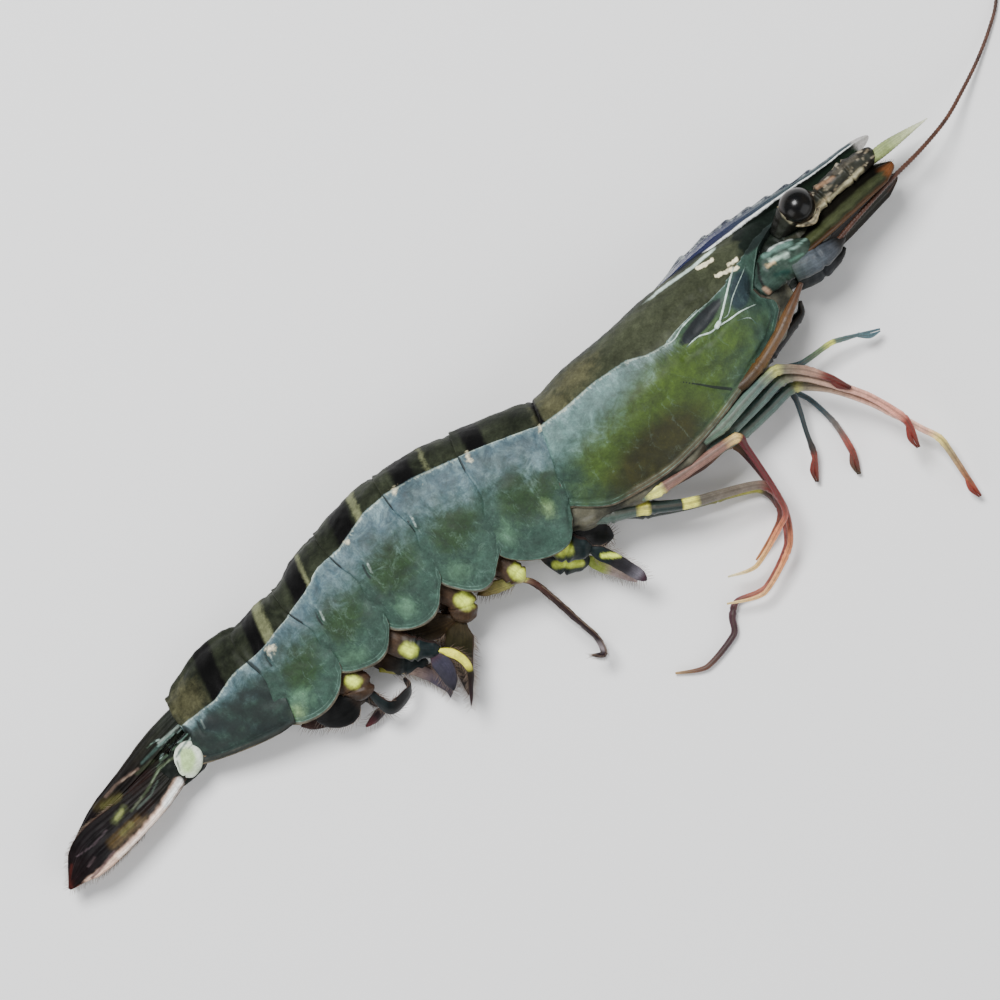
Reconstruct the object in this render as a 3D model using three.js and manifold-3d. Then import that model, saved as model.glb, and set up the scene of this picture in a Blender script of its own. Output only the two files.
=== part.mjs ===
// Raw tiger prawn, lying on its left side with its right side up.
// Lengths are in millimetres. +X runs from tail to head, +Y towards its back, and +Z up from the surface that
// it lies on. The hard shell is a run of closed lofts, one for each ring of the body. Limbs, fins and feelers
// are swept along their own curves, and each is cut clear of the body that it grows from.

import * as THREE from "three";
import { mergeVertices } from "three/addons/utils/BufferGeometryUtils.js";
import Module from "manifold-3d";

const wasm = await Module();
wasm.setup();

// ---- Driving dimensions ----

const GAP = 0.3; // left between pieces that touch in the animal
const MIDDLE = [18.96, 2.84]; // x and y of the middle of all it reaches, which the part's origin is under

// The abdomen, from the tail joint forward. Each row is one joint between rings of shell:
// the top of the back (x, y), the edge of the side (x, y), half the width, and the height of the mid-plane.
const ABDOMEN_JOINTS = [
  [-68.2, 13.0, -71.6, 0.5, 4.2, 4.3],
  [-50.6, 14.6, -53.9, -5.0, 6.8, 6.4],
  [-40.6, 15.1, -41.5, -3.7, 7.8, 7.4],
  [-28.1, 17.8, -30.0, -3.6, 8.6, 8.2],
  [-13.2, 18.2, -17.7, -3.7, 9.1, 8.7],
  [2.4, 14.5, -6.5, -7.0, 9.5, 9.2],
  [16.6, 9.2, 7.2, -11.7, 9.8, 9.9],
];
const RING_NAMES = ["abdomen_6", "abdomen_5", "abdomen_4", "abdomen_3", "abdomen_2", "abdomen_1"];
const LOBE_DROP = [0.5, 2.4, 3.0, 3.6, 4.0, 3.8]; // how far each ring's side plate hangs past its joints
const CREST_RISE = [1.9, 0.4, 0.5, 0.4, 0.2, 0.2]; // how far the back rises between two joints

// The carapace, from its rear edge forward, in the same columns.
const CARAPACE_ROWS = [
  [17.2, 9.4, 7.9, -11.9, 10.3, 10.5],
  [24.5, 10.0, 16.0, -14.6, 11.2, 10.9],
  [32.8, 9.8, 26.0, -16.4, 11.5, 11.1],
  [41.3, 9.7, 36.0, -16.0, 11.3, 10.9],
  [50.0, 9.5, 45.5, -14.2, 10.4, 10.7],
  [57.0, 8.9, 53.0, -12.0, 9.0, 10.5],
  [62.2, 7.9, 59.5, -9.4, 7.4, 10.3],
  [65.8, 6.6, 64.8, -6.6, 5.8, 10.2],
];

// Where the widest part of a section is, as a share of its depth up from the edge, and how far its lower
// edge turns in under the body, as a share of the half width.
const ABDOMEN_SECTION = { widest: 0.52, tuck: 0.3, recess: 2.6, lip: 0.9 };
const CARAPACE_SECTION = { widest: 0.52, tuck: 0.42, recess: 5.5, lip: 0.9 };
const ARC_STEPS = 7;
const SIDE_STEPS = 4;
const RING_STEPS = 6; // sections along one ring of the abdomen
const TUCKED_RIM = 0.45; // how much smaller a ring's front rim is, where the ring before it overlaps it
const FLARED_RIM = 0.25; // how much its rear rim stands out

// The beak. Each row: x, top edge, side ridge and lower edge (y), and half the width over the ridges.
const BEAK_ROWS = [
  [46.0, 9.2, 8.2, 4.0, 2.4],
  [52.0, 10.3, 8.8, 4.0, 2.4],
  [60.0, 10.1, 7.9, 3.4, 2.4],
  [68.0, 8.9, 6.8, 3.0, 2.2],
  [75.0, 7.4, 6.2, 3.6, 1.7],
  [82.0, 6.2, 5.4, 3.8, 1.2],
  [88.0, 5.9, 5.0, 3.8, 0.9],
  [92.6, 5.4, 4.6, 3.5, 0.4],
];
const BEAK_HEIGHT = [10.7, 9.7]; // height of its middle at the root and at the tip
const BEAK_EDGE = 0.35; // half the thickness of its sharp top and lower edges
const TOP_TEETH = [49.5, 55.0, 60.0, 64.4, 68.2, 72.2, 77.0]; // x of the root of each tooth
const LOWER_TEETH = [78.5, 82.5, 86.0];
const TOOTH = { length: 4.2, rise: 0.5, thick: 0.8, sunk: 0.6 };

const EYE = { x: 74.4, y: 3.5, out: 6.4, radius: 3.25 };
const HEAD_MIDDLE = 10.0; // height of the mid-plane in front of the carapace

// ---- Colours ----

const skin = (color, roughness) => new THREE.MeshStandardMaterial({ color, roughness, metalness: 0 });
const SHELL_SKIN = skin("#55705f", 0.35);
const BELLY_SKIN = skin("#5d5f4c", 0.6);
const LEG_SKIN = skin("#8a5a4c", 0.4);
const FIN_SKIN = skin("#33302f", 0.4);
const TAIL_SKIN = skin("#2e2022", 0.35);
const EYE_SKIN = skin("#151316", 0.15);
const SCALE_SKIN = skin("#4a5638", 0.4);
const FEELER_SKIN = skin("#5a3528", 0.5);

// ---- Solids and joins ----

function solidOf(geometry) {
  const bare = geometry.clone();
  bare.deleteAttribute("normal");
  bare.deleteAttribute("uv");
  const merged = mergeVertices(bare, 1e-4);
  return new wasm.Manifold(
    new wasm.Mesh({
      numProp: 3,
      vertProperties: new Float32Array(merged.attributes.position.array),
      triVerts: new Uint32Array(merged.index.array),
    }),
  );
}

function geometryOf(solid) {
  const mesh = solid.getMesh();
  const geometry = new THREE.BufferGeometry();
  geometry.setAttribute("position", new THREE.BufferAttribute(mesh.vertProperties, 3));
  geometry.setIndex(new THREE.BufferAttribute(mesh.triVerts, 1));
  geometry.computeVertexNormals();
  return geometry;
}

const fuse = (solids) => solids.reduce((whole, next) => whole.add(next));

// A solid cut clear of its neighbours. Scraps that a cut leaves are dropped.
function clearOf(solid, neighbours) {
  const cut = neighbours.reduce((left, next) => left.subtract(next), solid);
  const bodies = cut.decompose();
  return bodies.reduce((best, body) => (body.volume() > best.volume() ? body : best));
}

// A closed skin over rings of points. Each ring runs anticlockwise about the way the rings follow each other.
function loft(rings) {
  const count = rings[0].length;
  const points = rings.flat();
  const index = [];
  for (let ring = 0; ring < rings.length - 1; ring++) {
    for (let i = 0; i < count; i++) {
      const next = (i + 1) % count;
      const [a, b] = [ring * count + i, ring * count + next];
      index.push(a, b, b + count, a, b + count, a + count);
    }
  }
  index.push(...cap(rings[0], 0, false));
  index.push(...cap(rings.at(-1), (rings.length - 1) * count, true));
  const geometry = new THREE.BufferGeometry().setFromPoints(points);
  geometry.setIndex(index);
  return solidOf(geometry);
}

// The triangles that close one end ring, whose outline may be hollow.
function cap(ring, first, atEnd) {
  const normal = new THREE.Vector3();
  ring.forEach((point, i) => normal.add(point.clone().cross(ring[(i + 1) % ring.length])));
  normal.normalize();
  const across = new THREE.Vector3(0, 0, 1).cross(normal).normalize();
  const along = normal.clone().cross(across);
  const flat = ring.map((point) => new THREE.Vector2(point.dot(across), point.dot(along)));
  return THREE.ShapeUtils.triangulateShape(flat, []).flatMap(([a, b, c]) => {
    const area = flat[b].clone().sub(flat[a]).cross(flat[c].clone().sub(flat[a]));
    const forward = area > 0 === atEnd;
    return forward ? [first + a, first + b, first + c] : [first + a, first + c, first + b];
  });
}

// ---- Smooth rows ----

const clamp = THREE.MathUtils.clamp;
const lerp = THREE.MathUtils.lerp;

// A smooth run through rows of numbers, with row 0 at 0, row 1 at 1 and so on.
function rowAt(rows, place) {
  const last = rows.length - 1;
  const first = clamp(Math.floor(place), 0, last - 1);
  const t = place - first;
  const near = [-1, 0, 1, 2].map((step) => rows[clamp(first + step, 0, last)]);
  return rows[0].map((_, column) => {
    const [a, b, c, d] = near.map((row) => row[column]);
    const bend = (2 * a - 5 * b + 4 * c - d) * t + (3 * b - a - 3 * c + d) * t * t;
    return b + 0.5 * t * (c - a + bend);
  });
}

// The same, at a value of the first column.
function rowAtX(rows, x) {
  const next = clamp(
    rows.findIndex((row) => row[0] >= x),
    1,
    rows.length - 1,
  );
  const [from, to] = [rows[next - 1][0], rows[next][0]];
  return rowAt(rows, next - 1 + (x - from) / (to - from));
}

// ---- Shell sections ----

// One section of shell: round over the back, down both sides to the lips, and up inside them to the belly.
// grow swells it by that much all round, to cut its neighbours clear of it.
function shellRing(row, shape, { drop = 0, rise = 0, swell = 0, grow = 0 } = {}) {
  const [backX, backY, edgeX, edgeY, half, middle] = row;
  const edge = new THREE.Vector2(edgeX, edgeY);
  const up = new THREE.Vector2(backX, backY).sub(edge);
  const depth = up.length();
  up.normalize();
  const widest = shape.widest * depth;
  const wide = half + swell + grow;
  const side = (down) => wide * (1 - shape.tuck * down ** 1.6);
  const outline = [];
  for (let i = 0; i <= ARC_STEPS; i++) {
    const angle = (i / ARC_STEPS) * (Math.PI / 2);
    const top = depth - widest + rise + swell + grow;
    outline.push([widest + top * Math.cos(angle), wide * Math.sin(angle) ** 0.9]);
  }
  for (let i = 1; i <= SIDE_STEPS; i++) {
    const down = i / SIDE_STEPS;
    outline.push([widest - (widest + drop + grow) * down, side(down)]);
  }
  const ceiling = (widest - shape.recess) / (widest + drop);
  outline.push([-drop - grow, side(1) - shape.lip - 2 * grow]);
  outline.push([shape.recess - grow, side(ceiling) - shape.lip - 2.5 * grow]);
  const mirrored = outline.slice(1).reverse();
  const right = [...outline, [shape.recess - grow, 0]];
  return [...right, ...mirrored.map(([v, w]) => [v, -w])].map(([v, w]) => {
    const flat = edge.clone().addScaledVector(up, v);
    return new THREE.Vector3(flat.x, flat.y, Math.max(middle + w, -grow));
  });
}

// Ring number k of the abdomen, counted from the tail.
function abdomenRing(k, grow = 0) {
  const seam = (GAP / 2 - grow) / 14; // a joint's half gap, as a share of a ring's length
  const rings = [];
  for (let i = 0; i <= RING_STEPS; i++) {
    const share = i / RING_STEPS;
    const along = lerp(seam, 1 - seam, share);
    const belly = Math.sin(Math.PI * clamp(share, 0.03, 0.97)) ** 0.7;
    const rim = TUCKED_RIM * clamp((share - 0.8) / 0.2, 0, 1);
    const flare = FLARED_RIM * clamp(1 - share * 3, 0, 1);
    rings.push(
      shellRing(rowAt(ABDOMEN_JOINTS, k + along), ABDOMEN_SECTION, {
        drop: LOBE_DROP[k] * belly,
        rise: CREST_RISE[k] * Math.sin(Math.PI * share),
        swell: flare - rim,
        grow,
      }),
    );
  }
  return loft(rings);
}

const CARAPACE_STEPS = 15;
const carapaceRow = (share) => rowAt(CARAPACE_ROWS, share * (CARAPACE_ROWS.length - 1));

function carapaceShell(grow = 0) {
  const rings = [];
  for (let i = 0; i <= CARAPACE_STEPS; i++) {
    const share = i / CARAPACE_STEPS;
    const push = (i === 0 ? -grow : 0) + (i === CARAPACE_STEPS ? grow : 0);
    const [backX, backY, edgeX, ...rest] = carapaceRow(share);
    rings.push(shellRing([backX + push, backY, edgeX + push, ...rest], CARAPACE_SECTION, { grow }));
  }
  return loft(rings);
}

// The underside of the chest, between the carapace's lips, which the legs grow from.
function chestSolid(grow = 0) {
  const stand = 2.0; // how far it shows below the carapace's edge
  const rings = [];
  for (let i = 0; i <= 10; i++) {
    const row = carapaceRow(lerp(0.03, 0.97, i / 10));
    const [backX, backY, edgeX, edgeY, half, middle] = row;
    const edge = new THREE.Vector2(edgeX, edgeY);
    const up = new THREE.Vector2(backX, backY).sub(edge).normalize();
    const wide = half * (1 - CARAPACE_SECTION.tuck) - CARAPACE_SECTION.lip - GAP - 0.2 + grow;
    const top = CARAPACE_SECTION.recess - GAP + grow;
    const section = [
      [top, 0],
      [top, wide],
      [0, wide],
      [-stand * 0.7 - grow, wide * 0.75],
      [-stand - grow, 0],
      [-stand * 0.7 - grow, -wide * 0.75],
      [0, -wide],
      [top, -wide],
    ];
    rings.push(
      section.map(([v, w]) => {
        const flat = edge.clone().addScaledVector(up, v);
        return new THREE.Vector3(flat.x, flat.y, middle + w);
      }),
    );
  }
  return loft(rings);
}

// ---- Limbs ----

// A tapering limb along a smooth curve through its points. wide and thick are its half sizes at each point,
// and wide is measured along the direction across.
function limb({ path, wide, thick = wide, across = [0, 0, 1], sides = 8, steps = 3 }, grow = 0) {
  const curve = new THREE.CatmullRomCurve3(path.map((p) => new THREE.Vector3(...p)), false, "centripetal");
  const last = path.length - 1;
  const count = last * steps;
  const rings = [];
  for (let i = 0; i <= count; i++) {
    const t = i / count;
    const way = curve.getTangent(t);
    const push = (i === 0 ? -grow : 0) + (i === count ? grow : 0);
    const centre = curve.getPoint(t).addScaledVector(way, push);
    const out = new THREE.Vector3(...across);
    out.addScaledVector(way, -out.dot(way)).normalize();
    const over = way.clone().cross(out);
    const [w, h] = rowAt(wide.map((value, k) => [value, thick[k]]), t * last);
    const ring = [];
    for (let s = 0; s < sides; s++) {
      const angle = (s / sides) * 2 * Math.PI;
      const point = centre.clone();
      point.addScaledVector(out, (Math.max(w, 0.12) + grow) * Math.cos(angle));
      point.addScaledVector(over, (Math.max(h, 0.12) + grow) * Math.sin(angle));
      point.z = Math.max(point.z, -grow);
      ring.push(point);
    }
    rings.push(ring);
  }
  return loft(rings);
}

// ---- Beak ----

const beakMiddle = (x) => THREE.MathUtils.mapLinear(x, BEAK_ROWS[0][0], BEAK_ROWS.at(-1)[0], ...BEAK_HEIGHT);

function beakBlade(grow = 0) {
  const count = 14;
  const rings = [];
  for (let i = 0; i <= count; i++) {
    const x = lerp(BEAK_ROWS[0][0], BEAK_ROWS.at(-1)[0], i / count);
    const [, top, ridge, low, half] = rowAtX(BEAK_ROWS, x);
    const section = [
      [top + grow, BEAK_EDGE + grow],
      [ridge, half + grow],
      [low - grow, BEAK_EDGE + grow],
      [low - grow, -BEAK_EDGE - grow],
      [ridge, -half - grow],
      [top + grow, -BEAK_EDGE - grow],
    ];
    rings.push(section.map(([y, z]) => new THREE.Vector3(x, y, beakMiddle(x) + z)));
  }
  return loft(rings);
}

// A tooth that points forward along the beak. side is 1 on its top edge and -1 on its lower edge.
function beakTooth(x, side) {
  const edgeY = (at) => rowAtX(BEAK_ROWS, at)[side > 0 ? 1 : 3];
  const outline = new THREE.Shape([
    new THREE.Vector2(x, edgeY(x) - side * TOOTH.sunk),
    new THREE.Vector2(x + TOOTH.length, edgeY(x + TOOTH.length) - side * TOOTH.sunk),
    new THREE.Vector2(x + TOOTH.length, edgeY(x + TOOTH.length) + side * TOOTH.rise),
  ]);
  const tooth = new THREE.ExtrudeGeometry(outline, { depth: TOOTH.thick, bevelEnabled: false });
  tooth.translate(0, 0, beakMiddle(x) - TOOTH.thick / 2);
  return solidOf(tooth);
}

// ---- Head pieces: side is 1 on the right, which is up, and -1 on the left ----

const outward = (side, distance) => HEAD_MIDDLE + side * distance;

// The soft front of the head, inside the mouth of the carapace, that the eyes and feelers grow from.
const headFront = (grow = 0) =>
  limb(
    {
      path: [
        [64.0, -0.8, 10.1],
        [68.5, -1.0, 10.1],
        [74.0, -1.6, 10.0],
        [78.0, -2.2, 10.0],
      ],
      wide: [4.6, 4.6, 3.6, 1.8],
      thick: [5.0, 4.6, 3.2, 1.6],
      sides: 10,
      steps: 2,
    },
    grow,
  );

function eyeGlobe(side, grow = 0) {
  const globe = new THREE.SphereGeometry(EYE.radius + grow, 12, 7);
  return solidOf(globe.translate(EYE.x, EYE.y, outward(side, EYE.out)));
}

function eyeSolid(side) {
  const stalk = limb({
    path: [
      [69.0, 2.0, outward(side, 2.8)],
      [71.4, 2.9, outward(side, 4.4)],
      [EYE.x, EYE.y, outward(side, EYE.out)],
    ],
    wide: [1.9, 2.2, 2.6],
    steps: 2,
  });
  return fuse([eyeGlobe(side), clearOf(stalk, [antennuleStem(side, GAP)])]);
}

// Each antennule: a jointed stem that cradles the eye, and two short whips.
const antennuleStem = (side, grow = 0) =>
  limb(
    {
      path: [
        [72.0, 0.6, outward(side, 2.0)],
        [79.0, 2.0, outward(side, 2.4)],
        [85.0, 2.0, outward(side, 2.4)],
        [90.5, 1.0, outward(side, 2.4)],
      ],
      wide: [1.6, 1.9, 2.0, 1.7],
      sides: 6,
      steps: 2,
    },
    grow,
  );

function antennuleSolid(side) {
  const whip = (endX, endY, endOut) =>
    limb({
      path: [
        [88.5, 1.1, outward(side, 2.4)],
        [94.0, 0.7, outward(side, lerp(2.4, endOut, 0.4))],
        [endX, endY, outward(side, endOut)],
      ],
      wide: [0.9, 0.75, 0.15],
      sides: 5,
      steps: 2,
    });
  return fuse([antennuleStem(side), whip(102.6, -0.4, 3.4), whip(98.5, 0.6, 1.2)]);
}

// Each antennal scale: a stiff blade beside the beak with a rounded tip. It stands nearly on edge here.
function antennalScaleSolid(side) {
  const sunk = side > 0 ? 0 : -3.0; // the lower one has slipped out towards the belly
  return limb({
    path: [
      [64.5, -2.6 + sunk, outward(side, 5.4)],
      [70.0, -2.0 + sunk, outward(side, 4.4)],
      [78.0, -1.7 + sunk, outward(side, 4.0)],
      [86.0, -1.7 + sunk * 0.85, outward(side, 3.8)],
      [92.6, -2.2 + sunk * 0.7, outward(side, 3.6)],
    ],
    wide: [1.8, 3.2, 4.0, 3.8, 2.8],
    thick: [0.9, 0.7, 0.55, 0.5, 0.4],
    across: [0, -0.62, side * 0.78],
    sides: 6,
    steps: 2,
  });
}

// Each antenna's stout jointed base.
const ANTENNA_BASE_END = { x: 76.0, y: -6.4, out: 5.2 };
function antennaBase(side, grow = 0) {
  const sunk = side > 0 ? 0 : -1.6;
  return limb(
    {
      path: [
        [63.0, -3.4 + sunk, outward(side, 4.6)],
        [67.0, -4.6 + sunk, outward(side, 5.4)],
        [71.0, -5.8 + sunk, outward(side, 5.6)],
        [ANTENNA_BASE_END.x, ANTENNA_BASE_END.y + sunk, outward(side, ANTENNA_BASE_END.out)],
      ],
      wide: [2.2, 2.6, 2.0, 1.1],
    },
    grow,
  );
}

// The right antenna's long whip droops from its base to the surface ahead and curls back over it.
const WHIP_PATH = [
  [74.5, -6.2, 15.2],
  [82.4, -5.4, 14.6],
  [90.4, -5.3, 12.6],
  [98.4, -4.0, 9.4],
  [106.0, -2.8, 6.0],
  [112.5, -0.8, 3.4],
  [118.5, 1.5, 1.7],
  [124.2, 4.4, 0.9],
  [128.5, 7.4, 0.62],
  [136.5, 15.6, 0.6],
  [141.6, 26.0, 0.58],
  [142.9, 37.0, 0.55],
  [140.5, 47.5, 0.5],
  [135.2, 56.5, 0.45],
  [127.9, 63.6, 0.4],
];
const WHIP_HALF = { root: 0.62, tip: 0.18 };

const whipSolid = () =>
  limb({
    path: WHIP_PATH,
    wide: WHIP_PATH.map((_, i) => lerp(WHIP_HALF.root, WHIP_HALF.tip, i / (WHIP_PATH.length - 1))),
    sides: 5,
    steps: 2,
  });

// ---- Legs ----

// Each leg's path from the chest to its tip, one point near each joint, and its half thickness there.
// The last number says whether it ends in a pincer.
const LEGS = {
  maxilliped_right: {
    path: [
      [41.5, -12.6, 15.4], [46.3, -13.6, 16.2], [51.4, -12.9, 16.6], [56.9, -11.2, 16.6],
      [61.5, -9.2, 16], [65.9, -7.2, 15.2],
    ],
    half: [1.4, 1.3, 1.2, 1.15, 1.05, 0.5],
  },
  maxilliped_left: {
    path: [
      [42, -13.2, 6.6], [48.2, -13.6, 5.6], [55.1, -12.8, 5], [60.1, -11.9, 4.6],
      [63.3, -11.3, 4.4], [64.6, -9.6, 4.8],
    ],
    half: [1.4, 1.5, 1.5, 1.3, 0.9, 0.4],
  },
  pereiopod_1_right: {
    path: [
      [34, -16.4, 15.8], [38.2, -16.8, 16.2], [45.2, -16, 15.8], [51.9, -15.7, 15], [55.9, -19, 14],
      [58.6, -23.3, 13], [60.3, -27.1, 12.4],
    ],
    half: [1.2, 1.25, 1.25, 1.1, 0.95, 0.8, 0.3],
    pincer: true,
  },
  pereiopod_2_right: {
    path: [
      [32, -17, 12], [39.4, -18.3, 12.2], [46.4, -18.1, 12.4], [52.2, -17.8, 12.4],
      [55.8, -20.6, 12], [61.6, -30, 10.6], [64, -38, 9.2], [62.6, -43.5, 8.4],
    ],
    half: [1.3, 1.3, 1.25, 1.1, 1, 0.8, 0.85, 0.3],
    pincer: true,
  },
  pereiopod_3_right: {
    path: [
      [25.4, -17.4, 10.4], [40.3, -20.2, 9.4], [47.2, -20.3, 9.2], [53, -20.3, 9],
      [57.7, -24.8, 8.4], [61.6, -31.7, 7.4], [65.3, -41.2, 5.8], [66.8, -45.5, 5],
      [65.9, -53.7, 3.2], [65.6, -58, 2.4],
    ],
    half: [1.5, 1.4, 1.3, 1.15, 1, 0.85, 0.75, 0.75, 0.65, 0.25],
    pincer: true,
  },
  pereiopod_4_right: {
    path: [
      [16.8, -14.6, 14.2], [21.8, -17.4, 15.2], [31.1, -18.9, 14.9], [38.8, -20, 14.6],
      [39, -22.8, 13.8], [38, -31.1, 11.8], [36.7, -36, 10.6], [34.2, -37.3, 10], [26.4, -39.9, 7],
      [21.4, -38, 5.4],
    ],
    half: [1.7, 1.5, 1.25, 1.15, 0.95, 0.8, 0.75, 0.7, 0.55, 0.25],
  },
  pereiopod_5_right: {
    path: [
      [9.2, -12.4, 13.2], [12.8, -15, 13.2], [17.9, -18.2, 12.4], [24.8, -23.1, 11.6],
      [36.8, -29.4, 9.2], [37.4, -35.2, 7.4], [33.6, -41.2, 5.8], [24.4, -44.7, 4.4],
      [18, -41.6, 3.8],
    ],
    half: [1.9, 1.9, 1.6, 1.3, 1.05, 0.8, 0.7, 0.55, 0.25],
  },
  pereiopod_1_left: {
    path: [
      [38, -15.4, 7.4], [45, -15.8, 7.8], [52.1, -15.8, 7.8], [56.9, -18.1, 7.3],
      [63.3, -18.9, 6.2], [65.7, -19.9, 5.6], [72.1, -23.1, 3.2],
    ],
    half: [1.3, 1.1, 1, 0.85, 0.7, 0.65, 0.25],
    pincer: true,
  },
  pereiopod_2_left: {
    path: [
      [32, -16, 6.4], [40, -17.2, 6], [49.3, -17.8, 5.6], [52.3, -21.3, 5.2], [49.5, -28.4, 3.6],
      [48.1, -32, 2.6], [45.3, -36.3, 1.6],
    ],
    half: [1.3, 1.1, 1, 0.75, 0.65, 0.75, 0.3],
    pincer: true,
  },
  pereiopod_3_left: {
    path: [
      [27.5, -16.4, 5], [33.6, -17.8, 3.4], [46, -18.8, 2.6], [51.8, -20.2, 2.4],
      [54.1, -23.8, 2.2], [54.7, -30.2, 1.9], [53.7, -36.3, 1.4], [52, -40.4, 1.1],
    ],
    half: [1.4, 1.1, 1, 0.9, 0.8, 0.8, 0.85, 0.3],
    pincer: true,
  },
  pereiopod_4_left: {
    path: [
      [19.6, -15.4, 7.4], [24, -18, 6.4], [31.1, -19.8, 5.8], [38.2, -20.8, 4.8], [37.6, -30, 4.6],
      [35.6, -36, 3.4], [31.2, -38.2, 2.6], [24.4, -38.6, 1.2],
    ],
    half: [1.5, 1.25, 1.1, 1, 0.85, 0.75, 0.65, 0.25],
  },
  pereiopod_5_left: {
    path: [
      [12.8, -14.4, 6.6], [18, -19.2, 5.4], [24.9, -23.6, 4.4], [36.2, -29.8, 1.8],
      [35.6, -37.4, 1.4], [29.6, -42.7, 1.2], [21.4, -42.8, 1.2], [17.2, -45.4, 1.1],
      [14.4, -47.6, 1.1], [7.7, -47.9, 1], [2.6, -44.9, 0.8],
    ],
    half: [1.6, 1.3, 1.1, 1, 0.85, 0.8, 0.75, 0.75, 0.7, 0.6, 0.25],
  },
};
const PINCER = { length: 4.4, open: 0.75, half: 0.45 };

function legSolid({ path, half, pincer = false }) {
  const leg = limb({ path, wide: half, sides: 6, steps: 1 });
  if (!pincer) return leg;
  // the movable finger of the pincer, beside the fixed one
  const tip = new THREE.Vector3(...path.at(-1));
  const back = new THREE.Vector3(...path.at(-2)).sub(tip).normalize();
  const side = new THREE.Vector3(-back.y, back.x, 0).normalize();
  const root = tip.clone().addScaledVector(back, PINCER.length);
  const middle = tip.clone().addScaledVector(back, PINCER.length * 0.5).addScaledVector(side, PINCER.open);
  const end = tip.clone().addScaledVector(side, PINCER.open * 0.9);
  const finger = limb({
    path: [root, middle, end].map((point) => point.toArray()),
    wide: [PINCER.half, PINCER.half, 0.15],
    sides: 4,
    steps: 1,
  });
  return fuse([leg, finger]);
}

// ---- Swimming legs under the abdomen ----

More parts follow.
